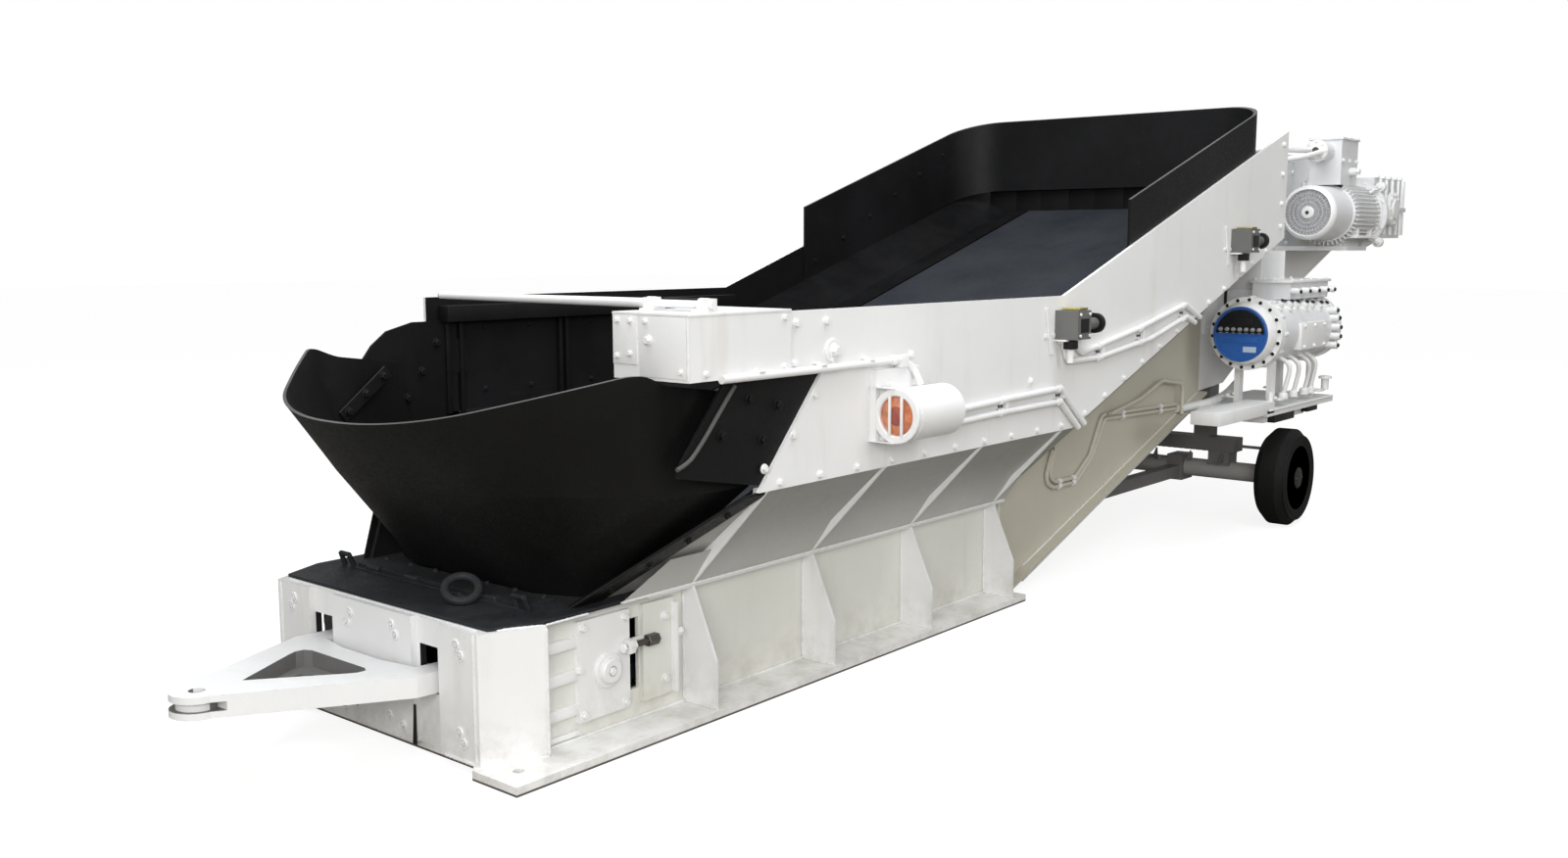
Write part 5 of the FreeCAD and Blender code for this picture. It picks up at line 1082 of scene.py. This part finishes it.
def make_wheel_details():
    """Hub covers and wheel bolts, the tyre's moulded ridges and the axle's gussets."""
    frame = Shape()
    for side, sign in (("left", LEFT), ("right", RIGHT)):
        centre = at(6.060, sign * 1.200, 0.310)
        out = (0, sign, 0)
        hub, nuts, rubber = Shape(), Shape(), Shape()
        hub.lathe([(0.074, -0.012), (0.074, 0.010), (0.066, 0.020), (0.030, 0.024)], centre, out, 36)
        hub.lathe([(0.165, -0.004), (0.165, 0.003), (0.160, 0.005), (0.150, 0.005)], centre, out, 48)
        hub.spokes(centre, out, angles(6, math.pi / 6), (0.070, -0.008, -0.004), (0.150, 0.008, 0.010),
                   0.003)
        nuts.bolt_circle(centre, out, 0.112, 6, 0.014, washer=True)
        nuts.bolt_circle(centre + Vector((0, sign * 0.020, 0)), out, 0.046, 4, 0.007)
        for radius, y in ((0.268, 1.2195), (0.236, 1.2187)):
            rubber.lathe([(radius - 0.006, -0.002), (radius - 0.004, 0.0035), (radius + 0.004, 0.0035),
                          (radius + 0.006, -0.002)], at(6.060, sign * y, 0.310), out, 72)
        hub.done("hub_cover_" + side, HUB, "wheel_" + side, "chassis_grey_paint")
        nuts.done("wheel_bolts_" + side, DARK_STEEL, "wheel_" + side)
        rubber.done("tyre_ridges_" + side, TYRE, "wheel_" + side)
    for sign in (LEFT, RIGHT):
        for y in (0.28, 0.52, 0.74):
            frame.plate([at(6.000, sign * y, 0.372), at(5.930, sign * y, 0.372),
                         at(5.988, sign * y, 0.430)], (0, sign * 0.010, 0), 0.0)
        frame.bead([(5.991, sign * 0.15, 0.444), (5.991, sign * 0.80, 0.444)], 0.006, 0.02)
        frame.bolt(at(5.920, sign * 0.335, 0.372), UP, 0.014)
        frame.bolts(grid((4.38, 4.50), sign * 0.459, 0.310), (0, sign, 0), 0.014, "s")
        frame.boxes(0.004, (6.115, sign * 0.955, 0.240, 6.005, sign * 0.985, 0.380))
        frame.bolts(grid((6.02, 6.10), sign * 0.985, (0.255, 0.365)), (0, sign, 0), 0.010)
    frame.done("axle_fittings", CHASSIS_GREY_AND_SHADE)


for make in (make_trough_edges, make_side_bolts, make_slope_trim, make_hopper_inside, make_apron_trim,
             make_front_details, make_deck_details, make_tension_details, make_box_details,
             make_lamp_details, make_clamps, make_leads, make_switch_details, make_motor_details,
             make_gear_details, make_starter_details, make_deflector_details, make_belt_details,
             make_wheel_details):
    make()


# ---------------------------------------------------------------- floor, light and camera

def make_stage():
    """A pale floor that keeps the shadow, and a plain white background."""
    skin = Finish("floor")
    seen = skin.node("LightPath").outputs["Is Camera Ray"]
    tone = skin.mix(seen, (0.24, 0.23, 0.205), (0.24, 0.24, 0.24))
    skin.done(Base_Color=tone, Roughness=0.9, Specular_IOR_Level=0.1,
              Emission_Color=(1.0, 1.0, 1.0), Emission_Strength=skin.times(seen, 0.85))
    mesh = bpy.data.meshes.new("floor")
    reach = 60
    mesh.from_pydata([(-reach, -reach, 0), (reach, -reach, 0), (reach, reach, 0),
                      (-reach, reach, 0)], [], [(0, 1, 2, 3)])
    floor = bpy.data.objects.new("floor", mesh)
    bpy.context.scene.collection.objects.link(floor)
    mesh.materials.append(skin.material)
    floor.location.z = -0.001


def make_light():
    """A pale dome, brighter overhead, and two large soft lamps."""
    world = bpy.data.worlds.new("studio")
    bpy.context.scene.world = world
    world.use_nodes = True
    nodes, links = world.node_tree.nodes, world.node_tree.links
    back = nodes["Background"]
    path = nodes.new("ShaderNodeLightPath")
    place = nodes.new("ShaderNodeTexCoord")
    split = nodes.new("ShaderNodeSeparateXYZ")
    links.new(place.outputs["Generated"], split.inputs[0])
    ramp = nodes.new("ShaderNodeMapRange")
    for key, value in (("From Min", 0.0), ("From Max", 1.0), ("To Min", 0.30), ("To Max", 0.62)):
        ramp.inputs[key].default_value = value
    links.new(split.outputs["Z"], ramp.inputs["Value"])
    pick = nodes.new("ShaderNodeMix")
    links.new(path.outputs["Is Camera Ray"], pick.inputs[0])
    links.new(ramp.outputs["Result"], pick.inputs[2])
    pick.inputs[3].default_value = 1.0
    links.new(pick.outputs[0], back.inputs["Strength"])
    back.inputs["Color"].default_value = (1, 1, 1, 1)

    def lamp(name, place, target, size, power, colour):
        data = bpy.data.lights.new(name, "AREA")
        data.shape = "RECTANGLE"
        data.size, data.size_y = size
        data.energy = power
        data.color = colour
        lit = bpy.data.objects.new(name, data)
        bpy.context.scene.collection.objects.link(lit)
        lit.matrix_world = facing(place, Vector(place) - Vector(target))
    lamp("lamp_over", (0.5, 1.5, 8.5), (-1.5, 0.2, 0.8), (9, 6), 760, (0.95, 0.98, 1.0))
    lamp("lamp_front", (8.2, 6.8, 4.0), (0.0, 0.0, 0.8), (6, 4.5), 690, (1.0, 0.99, 0.97))
    lamp("lamp_side", (-2.0, 10.0, 4.0), (-4.5, 1.0, 1.2), (4, 3), 150, (1.0, 0.99, 0.97))


def make_camera():
    """The photograph's viewing angle: the left front corner, from just above the hopper."""
    data = bpy.data.cameras.new("camera")
    data.sensor_width = 36
    data.lens = 31.66
    camera = bpy.data.objects.new("camera", data)
    bpy.context.scene.collection.objects.link(camera)
    turn, dip = math.radians(39.69), math.radians(7.522)
    back = Vector((math.cos(turn) * math.cos(dip), math.sin(turn) * math.cos(dip), math.sin(dip)))
    camera.matrix_world = facing((4.375, 4.246, 1.774), back)
    bpy.context.scene.camera = camera


make_stage()
make_light()
make_camera()
bpy.context.scene.view_settings.view_transform = "Standard"
